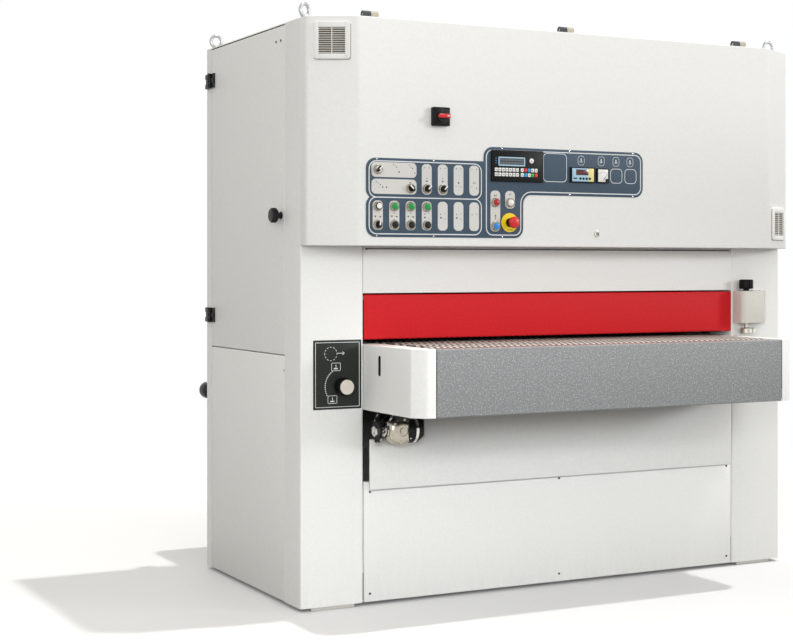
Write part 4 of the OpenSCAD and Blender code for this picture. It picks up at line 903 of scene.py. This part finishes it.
def build_selectors():
    boss = [(0, -17.5), (11.7, -17.5), (11.7, 9.5), (11.0, 11), (0, 11)]
    cells = ((0, 3, 45), (2, 2, -42), (3, 2, 42), (4, 2, 42), (0, 0, 8))
    for number, (column, row, tilt) in enumerate(cells, 1):
        name, at = f"selector_{number}", spot(column, row)
        knob = Piece(name + "_knob", name, NODE_SLOT[name])
        knob.add(bright if number == 1 else black_plastic, turned(boss, at, -Y, 36))
        grip = block(by(at, -4.5, -20, -11), by(at, 4.5, -10, 11.4), 2.0)
        mark = block(by(at, -2.6, -20.6, -3), by(at, 2.6, -14, 12.2), 0.6)
        knob.add(black_plastic, turned_about(grip, at, "Y", tilt))
        knob.add(white_plastic, turned_about(mark, at, "Y", tilt)).done(name)


def build_stop():
    stop = Piece("emergency_mushroom", "emergency_stop", "red_plastic")
    head = [(0, 20), (12.5, 20), (13.5, 24), (18.5, 26), (20, 29), (20, 34), (18, 38.5), (13, 41.2), (6, 42),
            (0, 42.2)]
    stop.add(black_plastic, rod(11.7, -17.5, 22, STOP, -Y, 32))
    stop.add(red_plastic, turned(head, STOP, -Y, 44)).done("emergency_stop")
    collar = Piece("emergency_collar", "hood", "panel_paint")
    disc = [(12.2, -0.3), (32.5, -0.3), (32.5, 2.0), (31.5, 2.8), (12.2, 2.8), (12.2, -0.3)]
    collar.add(yellow_plastic, turned(disc, STOP, -Y, 48))
    collar.add(black_plastic, tube(12.2, 15.5, 2.5, 9, STOP, -Y, 32))
    collar.add(ink, *[block(by(STOP, across - 1.2, -3.0, -28), by(STOP, across + 1.2, -2.6, -22))
                      for across in (-8, -3, 4, 9)]).done()


def add_keypad(kit, face):
    front = face - 1.2
    kit.add(jet_plastic, slab((-356.2, 1423), (-149.3, 1530.6), face, PANEL_FACE, 2.0),
            slab((-351.2, 1428), (-154.3, 1525.6), front, face + 1, 0.8))
    kit.add(pale_blue, line_loop(((-331, 1476.5), (-225, 1507)), front, 4.0, 2.5, 0.5))
    window = lit_display("grey_text_window", (58, 64, 70), (120, 130, 138), 16, 2, (-327, 1480.5), (98, 22.5))
    kit.add(window, slab((-327, 1480.5), (-229, 1503), front - 0.4, front + 0.5))
    for height in (1502, 1494, 1486):
        kit.add(key_blue, pad((-340.5, height), (1.5, 2), front - 0.3, front + 0.3))
    switch = (-199, front, 1496)
    kit.add(white_plastic, turned([(0, 0), (8.5, 0), (8.5, 1.2), (7.5, 1.8), (0, 1.8)], switch, -Y, 24))
    kit.add(key_red, block(by(switch, -3, -2.1, -1.5), by(switch, 3, -1.6, 1.5)))
    coloured = {(8, 1): key_red, (9, 1): key_blue, (8, 0): key_blue, (10, 0): key_green, (11, 0): key_red}
    for row, column in product(range(2), range(12)):
        at = (-340 + column * 14.0 + (5 if column > 6 else 0), 1447 + row * 16.3)
        finish = coloured.get((column, row), white_plastic)
        kit.add(finish, pad(at, (5.6, 6.2), front - 1.3, front + 0.2, 1.4, 2))
        if finish is white_plastic:
            kit.add(ink, pad(by(at, 0, 0.4), (2.2, 1.6), front - 1.5, front - 1.2))


def add_meters(kit, face):
    kit.add(jet_plastic, slab((-37.5, 1427), (64.2, 1480.7), face, PANEL_FACE, 1.6))
    kit.add(pale_blue, slab((-31.5, 1431), (36, 1476.7), face - 0.8, face + 0.4, 0.3))
    kit.add(pale_yellow, slab((36, 1431), (58.2, 1476.7), face - 0.8, face + 0.4, 0.3))
    digits = lit_display("dark_red_window", (56, 9, 14), (140, 26, 30), 4, 1, (-16, 1453), (51, 20))
    kit.add(digits, slab((-16, 1453), (35, 1473), face - 1.3, face, 0.4))
    key = [(0, 0), (4.6, 0), (4.2, 1.4), (0, 1.5)]
    kit.add(jet_plastic, *[turned(key, (2 + i * 13, face - 0.7, 1441), -Y, 18) for i in range(4)])
    kit.add(ink, slab((-27, 1439), (-12, 1444), face - 1.0, face - 0.7))

    kit.add(jet_plastic, slab((72.1, 1427.7), (123.4, 1479.2), face, PANEL_FACE, 1.6))
    kit.add(dial_white, slab((77.1, 1431.7), (118.4, 1475.2), face - 0.6, face + 0.4, 0.3))
    pivot = (97.7, face, 1436)
    kit.add(ink, *ribs(pivot, "Y", (-0.7, -1.2, 0), (0.7, -0.7, 26), 0, (38,)),
            *ribs(pivot, "Y", (-0.5, -1.0, 28), (0.5, -0.5, 32), 0, range(-52, 53, 13)))
    kit.add(jet_plastic, rod(6, 0, 1.6, (113, face - 0.4, 1437), -Y, 20))


def build_instruments():
    kit = Piece("panel_instruments_kit", "hood", "black_plastic")
    add_keypad(kit, PANEL_FACE - 8)
    add_meters(kit, PANEL_FACE - 8)
    lens = [(0, -1), (11.8, -1), (11.8, 7.5), (10.8, 9.6), (8, 11), (4, 11.8), (0, 12)]
    kit.add(lamp_red, turned(lens, RED_LAMP, -Y, 32))
    kit.add(lamp_white, turned(lens, WHITE_LAMP, -Y, 32))
    at, half = (-554.5, HOOD_FACE, 1633.0), 31
    kit.add(jet_plastic, block(by(at, -half, -22, -half), by(at, half, 0, half), 3.0))
    kit.add(black_plastic, turned([(0, 21), (26, 21), (26, 23), (24.5, 24), (0, 24)], at, -Y, 40))
    kit.done("panel_instruments")

    handle = Piece("isolator_grip", "isolator_handle", "red_plastic")
    hub = [(0, 8), (8, 8), (8, 24.2), (20, 24.2), (20, 30), (18.5, 32), (0, 32)]
    handle.add(black_plastic, turned(hub, at, -Y, 40))
    handle.add(red_plastic, block(by(at, -21, -46, -6.5), by(at, 21, -31, 6.5), 3.0))
    handle.add(white_plastic, block(by(at, 7, -46.3, -1.2), by(at, 18, -45.6, 1.2)))
    handle.done("isolator_handle")


# Switchgear behind the hood

BOARD, GEAR = FRONT + 14, FRONT - 52.8
BOARD_LOW, BOARD_HIGH, RAIL_END = 1210.0, 1936.0, 636.0
TERMINAL_ROW, CONTACTOR_ROW, BREAKER_ROW = 1399.0, 1580.5, 1761.5
GEAR_PITCH, GEAR_HALF = 70.7, 43.5


def trunking(board, low, high):
    """Slotted wiring duct with its lid, drawn along its longer side."""
    along = 0 if high[0] - low[0] > high[1] - low[1] else 1
    pitch, finger = 12.5, 8.0
    board.add(duct_grey, slab(low, high, GEAR + 16, GEAR + 20, 1.0, 2))
    for i in range(int((high[along] - low[along]) / pitch)):
        start = low[along] + i * pitch + 2
        for edge in (low[1 - along] + 0.8, high[1 - along] - 2.4):
            near, far = (start, edge), (start + finger, edge + 1.6)
            if along:
                near, far = near[::-1], far[::-1]
            board.add(duct_grey, slab(near, far, GEAR + 19, BOARD))


def poles(board, left, width, row, depth, screw, wires, foot, head):
    """Three poles of a device: terminal screws above and below, with their wires."""
    low, high = row - GEAR_HALF, row + GEAR_HALF
    for i, finish in enumerate(wires):
        across = left + (i + 0.5) * width / 3
        board.add(zinc, *[pan_screw((across, depth, height), -Y, screw) for height in (low + 9, high - 9)])
        for colour, start, end in ((finish, foot, low + 1), (soft_black, high - 1, head)):
            board.add(colour, rod(1.7, 0, end - start, (across, GEAR + 28, start), Z, 8))


def breaker(board, left, width):
    """Three-pole breaker: stepped body, levers, terminals above and below, and a label strip."""
    right, row = left + width, BREAKER_ROW
    low, high = row - GEAR_HALF, row + GEAR_HALF
    board.add(white_plastic, slab((left, low), (right, high), GEAR + 16, BOARD - 8, 1.2, 2),
              slab((left + 0.6, row - 22), (right - 0.6, row + 22), GEAR, GEAR + 17, 1.2, 2))
    board.add(legend, slab((left + 4, row - 18), (right - 4, row - 10), GEAR - 0.3, GEAR + 0.2))
    for i in range(3):
        lever = (left + (i + 0.5) * width / 3, row + 3)
        board.add(soft_black, pad(lever, (4, 5), GEAR - 5, GEAR + 2, 1.0, 2))
    poles(board, left, width, row, GEAR + 16, 3.4, (soft_black,) * 3, 1690, 1839)


def contactor(board, left, width):
    """Contactor: dark terminal body, pale coil block with its plunger, and a label strip."""
    right, row = left + width, CONTACTOR_ROW
    low, high = row - GEAR_HALF, row + GEAR_HALF
    board.add(black_plastic, slab((left, low), (right, high), GEAR + 20, BOARD - 8, 1.2, 2))
    board.add(beige_plastic, slab((left + 2, low + 17), (right - 2, high - 17), GEAR, GEAR + 21, 1.5, 2))
    board.add(soft_black, pad((left + width / 2, row), (5, 5), GEAR - 1.2, GEAR + 0.5, 0.6, 2))
    board.add(legend, slab((left + 6, row + 12), (right - 6, row + 19), GEAR - 0.3, GEAR + 0.3))
    poles(board, left, width, row, GEAR + 20, 3.6, (soft_black, key_blue, key_red), 1501, 1652)


def add_terminals(board):
    low, high = TERMINAL_ROW - 24, TERMINAL_ROW + 24
    for i in range(64):
        left, finish = -612 + i * 12, {3: key_blue, 6: key_green}.get(i % 7, beige_plastic)
        board.add(finish, slab((left, low), (left + 11.4, high), BOARD - 46, BOARD - 7, 0.8, 2))
        for height in (low + 9, high - 9):
            board.add(zinc, pan_screw((left + 5.7, BOARD - 46, height), -Y, 3.0))


def add_drive(board):
    left, right, low, high = 222.7, 413.6, 1319, 1500
    board.add(dark_paint, slab((left, low), (right, high), GEAR + 4, BOARD, 4.0))
    board.add(black_plastic, slab((left + 18, low + 66), (right - 18, high - 40), GEAR, GEAR + 6, 2.5))
    window = lit_display("drive_window", (34, 40, 38), (150, 190, 120), 5, 1, (left + 34, 1428), (92, 22))
    board.add(window, slab((left + 34, 1428), (left + 126, 1450), GEAR - 0.6, GEAR + 1))
    for row, column in product(range(2), range(4)):
        key = (left + 46 + column * 28, 1398 + row * 15)
        board.add(soft_black, pad(key, (9, 5), GEAR - 2, GEAR + 1, 1.6, 2))
    # Black patches stand in for the drive's vent slots: painted shade of the dark inside.
    for i in range(14):
        slot_x = left + 20 + i * 11.2
        board.add(ink, plate(((slot_x, high - 32), (slot_x + 5, high - 10)), "y", GEAR + 3.6, GEAR + 5, 2.4))
    board.add(legend, slab((left + 22, low + 12), (right - 22, low + 44), GEAR + 3.5, GEAR + 4.5))


def add_supply(board):
    left, right, low, high = 458, 623.6, 1486, 1704
    board.add(machine_paint, slab((left, low), (right, high), GEAR, BOARD, 3.0))
    # Black discs stand in for the vent holes: painted shade of the dark inside.
    vents = product(range(9), range(7))
    board.add(ink, *[rod(3.8, -1, 0.3, (left + 26 + column * 14.2, GEAR, low + 112 + row * 13), -Y, 12)
                     for column, row in vents])
    board.add(legend, slab((left + 30, low + 30), (right - 30, low + 84), GEAR - 0.4, GEAR + 0.5))
    corners = product((left + 10, right - 10), (low + 10, high - 10))
    board.add(zinc, *[pan_screw((across, GEAR, height), -Y) for across, height in corners])


def build_switchgear():
    board = Piece("switchgear_board", "frame", "cabinet_paint")
    board.add(pale_paint, slab((-PASSAGE, BOARD_LOW), (PASSAGE, BOARD_HIGH), BOARD, BOARD + 3, 0.8))
    brim, crown = BOARD - 7.5, BOARD - 0.8
    for row in (TERMINAL_ROW, CONTACTOR_ROW, BREAKER_ROW):
        hat = [(brim, row - 17.5), (brim, row - 12.5), (crown, row - 12.5), (crown, row + 12.5),
               (brim, row + 12.5), (brim, row + 17.5)]
        board.add(zinc, folded(hat, "x", -RAIL_END, RAIL_END, 1.0, 1.0, 2))
    for low, high in (((-700, 1838), (700, 1878)), ((-700, 1651), (440, 1691)), ((-700, 1462), (200, 1502)),
                      ((-752, 1230), (-712, 1916)), ((712, 1230), (752, 1916))):
        trunking(board, low, high)
    for i in range(10):
        left = -RAIL_END + GEAR_PITCH * (i + 0.2)
        contactor(board, left, 42.4)
        breaker(board, left, 56.6)
    add_terminals(board)
    add_drive(board)
    add_supply(board)
    corners = product((-PASSAGE + 14, PASSAGE - 14), (BOARD_LOW + 14, BOARD_HIGH - 14))
    board.add(zinc, *[pan_screw((across, BOARD, height), -Y, 6.0) for across, height in corners])
    board.done("electrical_plate")


# Sanding head


def middle_of(node):
    """The middle of a solid's box, in millimetres."""
    return [(low + high) / 2 / MM for low, high in zip(*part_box(node))]


def build_head():
    """Bearing flanges, covers and bolts on the outer faces of the head's end plates."""
    fittings = Piece("head_bearings", "frame", "steel")
    flange = [(27, 0), (62, 0), (62, 8), (60, 9), (44, 10), (40, 16), (38, 18), (27, 18), (27, 0)]
    cap = [(0, 5), (16, 5), (24, 4), (25, 3), (25, 0), (0, 0)]
    for side in (-1, 1):
        way, face = X * side, side * 745.0
        at = (face, *middle_of("contact_roller")[1:])
        fittings.add(machine_paint, turned(flange, at, way, 56))
        steps = circle(52, round_turns(4, 45))
        fittings.add(zinc, *[hex_bolt(by(at, side * 9, *step), way) for step in steps])
        for node in ("infeed_pressure_roller", "outfeed_pressure_roller"):
            at = (face, *middle_of(node)[1:])
            fittings.add(dark_steel, turned(cap, at, way, 40))
            steps = circle(20, round_turns(3, 90))
            fittings.add(zinc, *[hex_bolt(by(at, side * 3.5, *step), way, 7.0) for step in steps])
        places = product((-330, -250, 250, 330), (1090, 1150))
        fittings.add(zinc, *[hex_bolt((face, *place), way, 17.0) for place in places])
    fittings.done()


def build_contact_roller():
    low, high = [corner.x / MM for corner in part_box("contact_roller")]
    axis, shaft, core, half = (0, *middle_of("contact_roller")[1:]), 24.5, 60.0, 685.0
    wheel, crown, start, end = 84.7, 83.2, 780.0, 840.0
    roller = Piece("contact_roller_cover", "contact_roller", "steel")
    body = [(0, low), (shaft, low), (shaft, -half), (core, -half), (core, half), (shaft, half),
            (shaft, start), (wheel, start), (wheel, start + 8), (crown, start + 10), (crown, end - 10),
            (wheel, end - 8), (wheel, end), (shaft, end), (shaft, high), (0, high)]
    roller.add(steel, turned(body, axis, X, 64))
    outer, groove, count = 69.9, 1.2, 34
    pitch = 2 * (half - 1) / count
    skin = [(core, 1 - half)]
    for i in range(count):
        start = 1 - half + i * pitch
        skin += [(outer - groove, start), (outer, start + groove), (outer, start + pitch - groove)]
    skin += [(outer - groove, half - 1), (core, half - 1), (core, 1 - half)]
    roller.add(soft_black, turned(skin, axis, X, 64)).done("contact_roller")


# Guard, table and feed


def build_guard():
    guard = Piece("infeed_guard_skin", "infeed_guard", "guard_paint")
    shape = [(FRONT + 22, 892), (FRONT, 890), (FRONT, 1040), (FRONT + 12, 1040)]
    back, height = -427, 1030
    guard.add(red_paint, folded(shape, "x", -WIDE, WIDE, 5.0, 3.0))
    guard.add(zinc, rod(8, -WIDE, WIDE, (0, back, height), X, 24))
    guard.add(steel, *[rod(5, 0, 9, (side * WIDE, back, height), X * side, 20) for side in (-1, 1)])
    guard.done("infeed_guard")


def build_caps():
    caps = Piece("table_end_covers", "table", "cabinet_paint")
    half = [(-701.5, -TABLE_Y), (-TABLE_X + 40, -TABLE_Y), (-TABLE_X, -TABLE_Y + 40)]
    plan = half + [(across, -back) for across, back in reversed(half)]
    caps.add(white_paint, *pair(cover(plan, TABLE_LOW, TABLE_TOP, (X, -Z), 7.0, 4, 3.0)))
    # A black plate in each end cap stands in for its see-through slot: painted shade of the dark inside.
    slot = (FRONT - 121.5, 775), (FRONT - 104.5, 842)
    caps.add(jet_plastic, *pair(plate(slot, "x", -TABLE_X - 0.4, -TABLE_X + 0.3, 8.0)))
    caps.done("table_end_caps")


def build_table():
    fascias = Piece("table_front_and_rear", "table", "table_paint")
    front, top, end, joint_end = -TABLE_Y, TABLE_TOP - 1, 697.3, 701.0
    shape = [(front + 22, TABLE_LOW), (front, TABLE_LOW), (front, top), (front + 14, top)]
    ledge = [(front + 13.5, top - 14), (front + 13.5, top), (front + 70, top)]
    joint = block((-joint_end, front + 12, TABLE_LOW + 4), (joint_end, front + 20, top - 6))
    fascias.add(grey_paint, *pair(folded(shape, "x", -end, end, 4.0, 3.0), TO_REAR))
    fascias.add(lip_paint, *pair(folded(ledge, "x", -end, end, 0.6, 2.4), TO_REAR))
    fascias.add(dark_paint, *pair(joint, TO_REAR)).done("table_fascias")

    apron = Piece("table_apron_sheet", "table", "cabinet_paint")
    left, right, low, high = -758, 765, 388, 700
    near, far = FRONT - 14, FRONT - 10
    outline = [(left, low), (right, low), (right, high), (-552, high), (-552, 557), (left, 557)]
    rear = plate(((left, low), (right, high)), "y", near, far, edge=1.5)
    apron.add(white_paint, plate(outline, "y", near, far, edge=1.5), mirrored(rear, TO_REAR))
    apron.add(ink, *[pan_screw((across, -near, low + 16), Y, 4.0) for across in (left + 24, 0, right - 24)])
    apron.done("table_apron")

    belt = Piece("carrier_belt_loop", "table", "belt_rubber")
    loop = open_faces(block((-680, -773, 748), (680, 773, 876)), X, -X)
    rounded(loop, folds(loop), 63.9, 18)
    belt.add(belt_rubber, thicken(loop, 4.0)).done("conveyor_belt")


def chain_links(piece, across, start, end, reach):
    """Roller chain round two wheels of one size, in a plane across X."""
    start, end = Vector(start), Vector(end)
    along = (end - start).normalized()
    out = Vector((along.y, -along.x))
    straight, arc, link_pitch = (end - start).length, math.pi * reach, 12.7
    count = 2 * round((straight + arc) / link_pitch)
    for i in range(count):
        half, way = divmod(i * 2 * (straight + arc) / count, straight + arc)
        sign, wheel = (-1, start) if half else (1, end)
        if way < straight:
            place = wheel + sign * (out * reach + along * (way - straight))
            heading = sign * along
        else:
            turn = (way - straight) / reach
            place = wheel + sign * reach * (out * math.cos(turn) + along * math.sin(turn))
            heading = sign * (along * math.cos(turn) - out * math.sin(turn))
        wide = 3.6 if i % 2 else 2.6
        link = block((-wide, -7, -2.4), (wide, 7, 2.4), 1.0, 2)
        turned_about(link, (0, 0, 0), "X", math.degrees(math.atan2(heading.y, heading.x)))
        piece.add(dark_steel if i % 2 else steel, moved(link, (across, *place)))


def build_feed():
    motor = Piece("feed_gearmotor_unit", "table", "bright_steel")
    at = (-674, FRONT - 58, 589)
    case = [(0, -39), (50, -39), (50, 0), (48.2, 1), (48.2, 4), (50, 5), (50, 10), (48.6, 11), (48.6, 14),
            (49.8, 15), (48.6, 20), (45, 26), (39, 31), (31, 34.6), (22, 36.6), (18, 37), (17, 34.5),
            (11, 34.5), (10, 38.4), (0, 39)]
    bolt = [(4.4, 0), (4.4, 3.6), (3.4, 4.4), (0, 4.4)]
    collar = [(14.2, 0), (27, 0), (27, 4), (24, 6), (24, 40), (14.2, 40)]
    body = [(0, 20), (40, 20), (43, 23), (43, 66), (40, 68), (35, 68), (35, 78), (33, 80), (0, 80)]
    # The case's plating is darkened as a painted reflection.
    motor.add(plating_with_painted_reflection, turned(case, at, -Y, 72))
    motor.add(zinc, *[turned(bolt, by(at, across, -31, rise), -Y, 6)
                      for across, rise in circle(38, round_turns(6, 20))])
    motor.add(plating_with_painted_reflection, turned(collar, by(at, -52, 0, 0), X, 48))
    motor.add(black_plastic, turned(body, at, X, 48),
              *ribs(at, "X", (26, -1.6, 41), (64, 1.6, 44.5), 0.6, round_turns(18)))
    motor.add(bright, tube(43.2, 45, 46, 56, at, X, 48))
    motor.add(dark_paint, block(by(at, -23, -25, 20), by(at, 46, 25, 101), 3.0))
    chain_links(motor, -752, (-709, 812), at[1:], 36.6)
    motor.done("feed_gearmotor")

    wheel = Piece("feed_chain_wheel", "feed_sprocket", "steel")
    hub, tooth = by(at, -83, 0, 0), [(-4.2, 29), (4.2, 29), (1.6, 34), (-1.6, 34)]
    wheel.add(dark_steel, tube(13, 31, 0, 10, hub, X, 48))
    for turn in round_turns(17):
        cog = moved(plate(tooth, "x", 1.5, 8.5, 0.8), hub)
        wheel.add(dark_steel, turned_about(cog, hub, "X", turn))
    for profile, steps in (([(0, -6), (9, -6), (10, -5), (14, -5), (14, 66), (0, 66)], 40),
                           ([(9, -8), (18, -8), (18.5, -7), (18.5, 0), (9, 0), (9, -8)], 6),
                           ([(14, 12), (20, 12), (21, 13), (21, 28), (14, 28), (14, 12)], 40)):
        wheel.add(bright, turned(profile, hub, X, steps))
    wheel.done("feed_sprocket")


# Gauge and knobs


def build_gauge():
    body = Piece("gauge_case", "frame", "cabinet_paint")
    left, right, low, high, axis = 781.5, 928.5, 921, 1042, (821.5, FRONT - 30.5, 0)
    plan = [(left, FRONT), (left, FRONT - 61), (right - 46, FRONT - 61), (right, FRONT - 15), (right, FRONT)]
    case = plate(plan, "z", low, high, corners=[((1,), 18.0), ((2, 3), 4.0)])
    rims = [e for e in case.edges if abs(e.verts[0].co.z - e.verts[1].co.z) < 1e-6]
    rounded(case, rims, 1.6, 2)
    body.add(pale_paint, case)
    body.add(ink, tube(11.3, 29, 0, 1.4, by(axis, 0, 0, high), Z, 40))
    for across, back in ((96, -40), (112, -22)):
        body.add(zinc, pan_screw((left + across, FRONT + back, high), Z, 4.0))
    body.done("gauge_housing")

    knob = Piece("gauge_grip", "gauge_knob", "black_plastic")
    grip = [(0, 1024), (11, 1024), (11, 1049), (20, 1050), (23.4, 1053), (23.4, 1083), (21, 1085), (0, 1085)]
    knob.add(jet_plastic, turned(grip, axis, Z, 44),
             *ribs(axis, "Z", (-3.4, 21.5, 1051), (3.4, 26, 1084), 1.4, round_turns(12)))
    knob.done("gauge_knob")
    foot = Piece("gauge_contact_foot", "gauge_foot", "bright_steel")
    stem = [(0, 880), (20, 880), (24, 883), (24, 899), (22, 902), (12, 902), (8, 904), (8, 985), (0, 985)]
    nut = [(0, 882), (13, 882), (13, 900), (11, 902), (0, 902)]
    foot.add(zinc, turned(stem, axis, Z, 40), turned(nut, by(axis, 32, 0, 0), Z, 6)).done("gauge_foot")


def build_speed_dial():
    dial = Piece("speed_dial_plate", "frame", "panel_paint")
    low, high, face, margin = (-959, 662), (-783.5, 891), FRONT - 1.6, 7
    # The plate is near black: painted shade over its slate.
    dial.add(slate_with_painted_shade, plate((low, high), "y", face, FRONT + 0.2, 2.0, 0.5))
    border = by(low, margin, margin), by(high, -margin, -margin)
    hub, ring = (-855, face, 737), (-895.6, face, 845.6)
    tip = by(ring, 49.6, 0, 1.5)
    scale = [-36 - i * 6.2 for i in range(14)]
    dial.add(line_white, line_loop(border, face, 1.8, 3.0),
             *ribs(hub, "Y", (-2.2, -0.3, 60), (2.2, 0.2, 62.6), 0, scale),
             *ribs(ring, "Y", (-3.2, -0.3, 21.4), (3.2, 0.2, 23), 0, round_turns(12)),
             *ribs(tip, "Y", (-26, -0.3, -1), (0, 0.2, 1), 0, (0,)),
             *ribs(tip, "Y", (-9, -0.3, -1), (0, 0.2, 1), 0, (-35, 35)))
    for at in ((-877, 802.5), (-890, 694.6)):
        box = by(at, -17, -13.5), by(at, 17, 13.5)
        dial.add(ink, plate(box, "y", face - 0.3, face + 0.2, 4.0))
        dial.add(line_white, line_loop(box, face - 0.2, 1.6, 4.0),
                 slab(by(at, -8, -8), by(at, 7, -4), face - 0.6, face),
                 slab(by(at, -1.2, -3), by(at, 1.2, 7), face - 0.6, face))
    dial.done()


def build_knobs():
    speed = Piece("speed_grip", "speed_knob", "black_plastic")
    hub = (-855, FRONT, 737)
    grip = [(0, -20), (6, -20), (6, 3), (28.5, 3), (29.5, 5), (28.6, 34), (27.6, 39), (26, 41), (0, 41)]
    speed.add(jet_plastic, turned(grip, hub, -Y, 48),
              *ribs(hub, "Y", (-1.5, -33, 27.6), (1.5, -9, 30), 0.6, round_turns(24)))
    speed.add(beige_plastic, turned([(0, 39), (24.6, 39), (24.6, 42.5), (23.4, 44), (0, 44)], hub, -Y, 44))
    speed.done("speed_knob")

    regulator = Piece("regulator_grip", "regulator_knob", "black_plastic")
    hub = (-969, REAR, 662)
    grip = [(0, -25), (8, -25), (8, 0), (14, 0), (14, 34), (20, 37), (29, 40), (31.5, 45), (31.5, 92),
            (29, 98), (24, 100), (0, 100)]
    regulator.add(black_plastic, turned(grip, hub, Y, 44),
                  *ribs(hub, "Y", (-2.4, 48, 29.5), (2.4, 90, 31.5), 0.8, round_turns(16)))
    regulator.done("regulator_knob")


for build in (build_posts, build_sides, build_rear_and_roof, build_front, build_base, build_eyes, build_hood,
              build_door, build_brackets, build_latch, build_panel, build_legends, build_buttons,
              build_selectors, build_stop, build_instruments, build_switchgear, build_head,
              build_contact_roller, build_guard, build_caps, build_table, build_feed, build_gauge,
              build_speed_dial, build_knobs):
    build()


# Floor, light and camera

WHITE = (1.0, 1.0, 1.0, 1.0)
SKY, HIGH_SUN, SIDE_SUN, LOW_FRONT, KEY_LEFT, REAR_FILL = 0.83, 1.62, 0.85, 3.3, 75.0, 70.0


def build_stage():
    bm = bmesh.new()
    bmesh.ops.create_grid(bm, x_segments=1, y_segments=1, size=40.0)
    moved(bm, (0, 0, -0.5))
    mesh = bpy.data.meshes.new("floor")
    bm.to_mesh(mesh)
    bm.free()
    floor = bpy.data.objects.new("floor", mesh)
    scene.collection.objects.link(floor)
    fade_start, fade_run = 2.6, 1.6
    finish = Finish("pale_floor", Base_Color=(0.66, 0.66, 0.66, 1.0), Roughness=0.9, Specular_IOR_Level=0.1)
    lit = Wire(finish, finish.shader.outputs[0])
    faint = finish.glow("ShaderNodeEmission", WHITE, 0.08)
    near = finish.add("ShaderNodeAddShader", None, {0: lit, 1: faint})
    reach = finish.add("ShaderNodeVectorMath", {"operation": "LENGTH"}, {0: finish.place}, "Value")
    far = ((reach - fade_start) / fade_run).clamp()
    shown = finish.either(far, near, finish.glow("ShaderNodeEmission", WHITE, 1.0))
    bounce = finish.add("ShaderNodeBsdfDiffuse", None, {"Color": (0.14, 0.14, 0.14, 1.0)})
    finish.show("Material Output", finish.either(finish.seen(), bounce, shown))
    mesh.materials.append(finish.material)

    world = bpy.data.worlds.new("studio")
    world.use_nodes = True
    scene.world = world
    sky = Nodes(world.node_tree)
    soft = sky.glow("ShaderNodeBackground", (1.0, 0.97, 0.915, 1.0), SKY)
    sky.show("World Output", sky.either(sky.seen(), soft, sky.glow("ShaderNodeBackground", WHITE, 1.0)))


def lamp(name, kind, at, way, power, colour):
    data = bpy.data.lights.new(name, kind)
    data.energy, data.color = power, colour
    item = bpy.data.objects.new(name, data)
    item.location = at
    item.rotation_euler = Vector(way).to_track_quat("-Z", "Y").to_euler()
    scene.collection.objects.link(item)
    return data


def softbox(name, at, aim, size, power, colour, spread=180.0):
    data = lamp(name, "AREA", at, Vector(aim) - Vector(at), power, colour)
    data.shape = "RECTANGLE"
    data.size, data.size_y = size
    data.spread = math.radians(spread)


def distant(name, way, power, angle, colour):
    lamp(name, "SUN", (0, 0, 0), way, power, colour).angle = angle


def build_light():
    cool, neutral = (0.965, 0.985, 1.0), (1.0, 1.0, 1.0)
    softbox("low_front", (-0.7, -4.6, 2.6), (-0.55, -0.44, -0.1), (2.6, 0.5), LOW_FRONT, cool, 36.0)
    softbox("key_left", (-3.2, -4.8, 1.9), (-0.4, -0.5, 0.5), (1.5, 1.4), KEY_LEFT, cool)
    softbox("rear_fill", (2.0, 6.5, 3.0), (0.0, 0.4, 1.0), (3.0, 2.0), REAR_FILL, neutral)
    distant("high_sun", (-0.36, 0.05, -1.0), HIGH_SUN, 0.03, neutral)
    distant("side_sun", (-1.25, 1.0, -0.32), SIDE_SUN, 0.18, cool)


def build_camera():
    data = bpy.data.cameras.new("camera")
    data.sensor_width = 36.0
    data.lens = 71.23
    data.shift_y = -0.0681
    data.clip_end = 200.0
    camera = bpy.data.objects.new("camera", data)
    camera.location = (-3.0707, -5.1462, 1.136)
    camera.rotation_euler = (math.radians(90.0), 0.0, math.radians(-27.2))
    scene.collection.objects.link(camera)
    scene.camera = camera


build_stage()
build_light()
build_camera()
scene.view_settings.view_transform = "Standard"
bpy.context.view_layer.update()
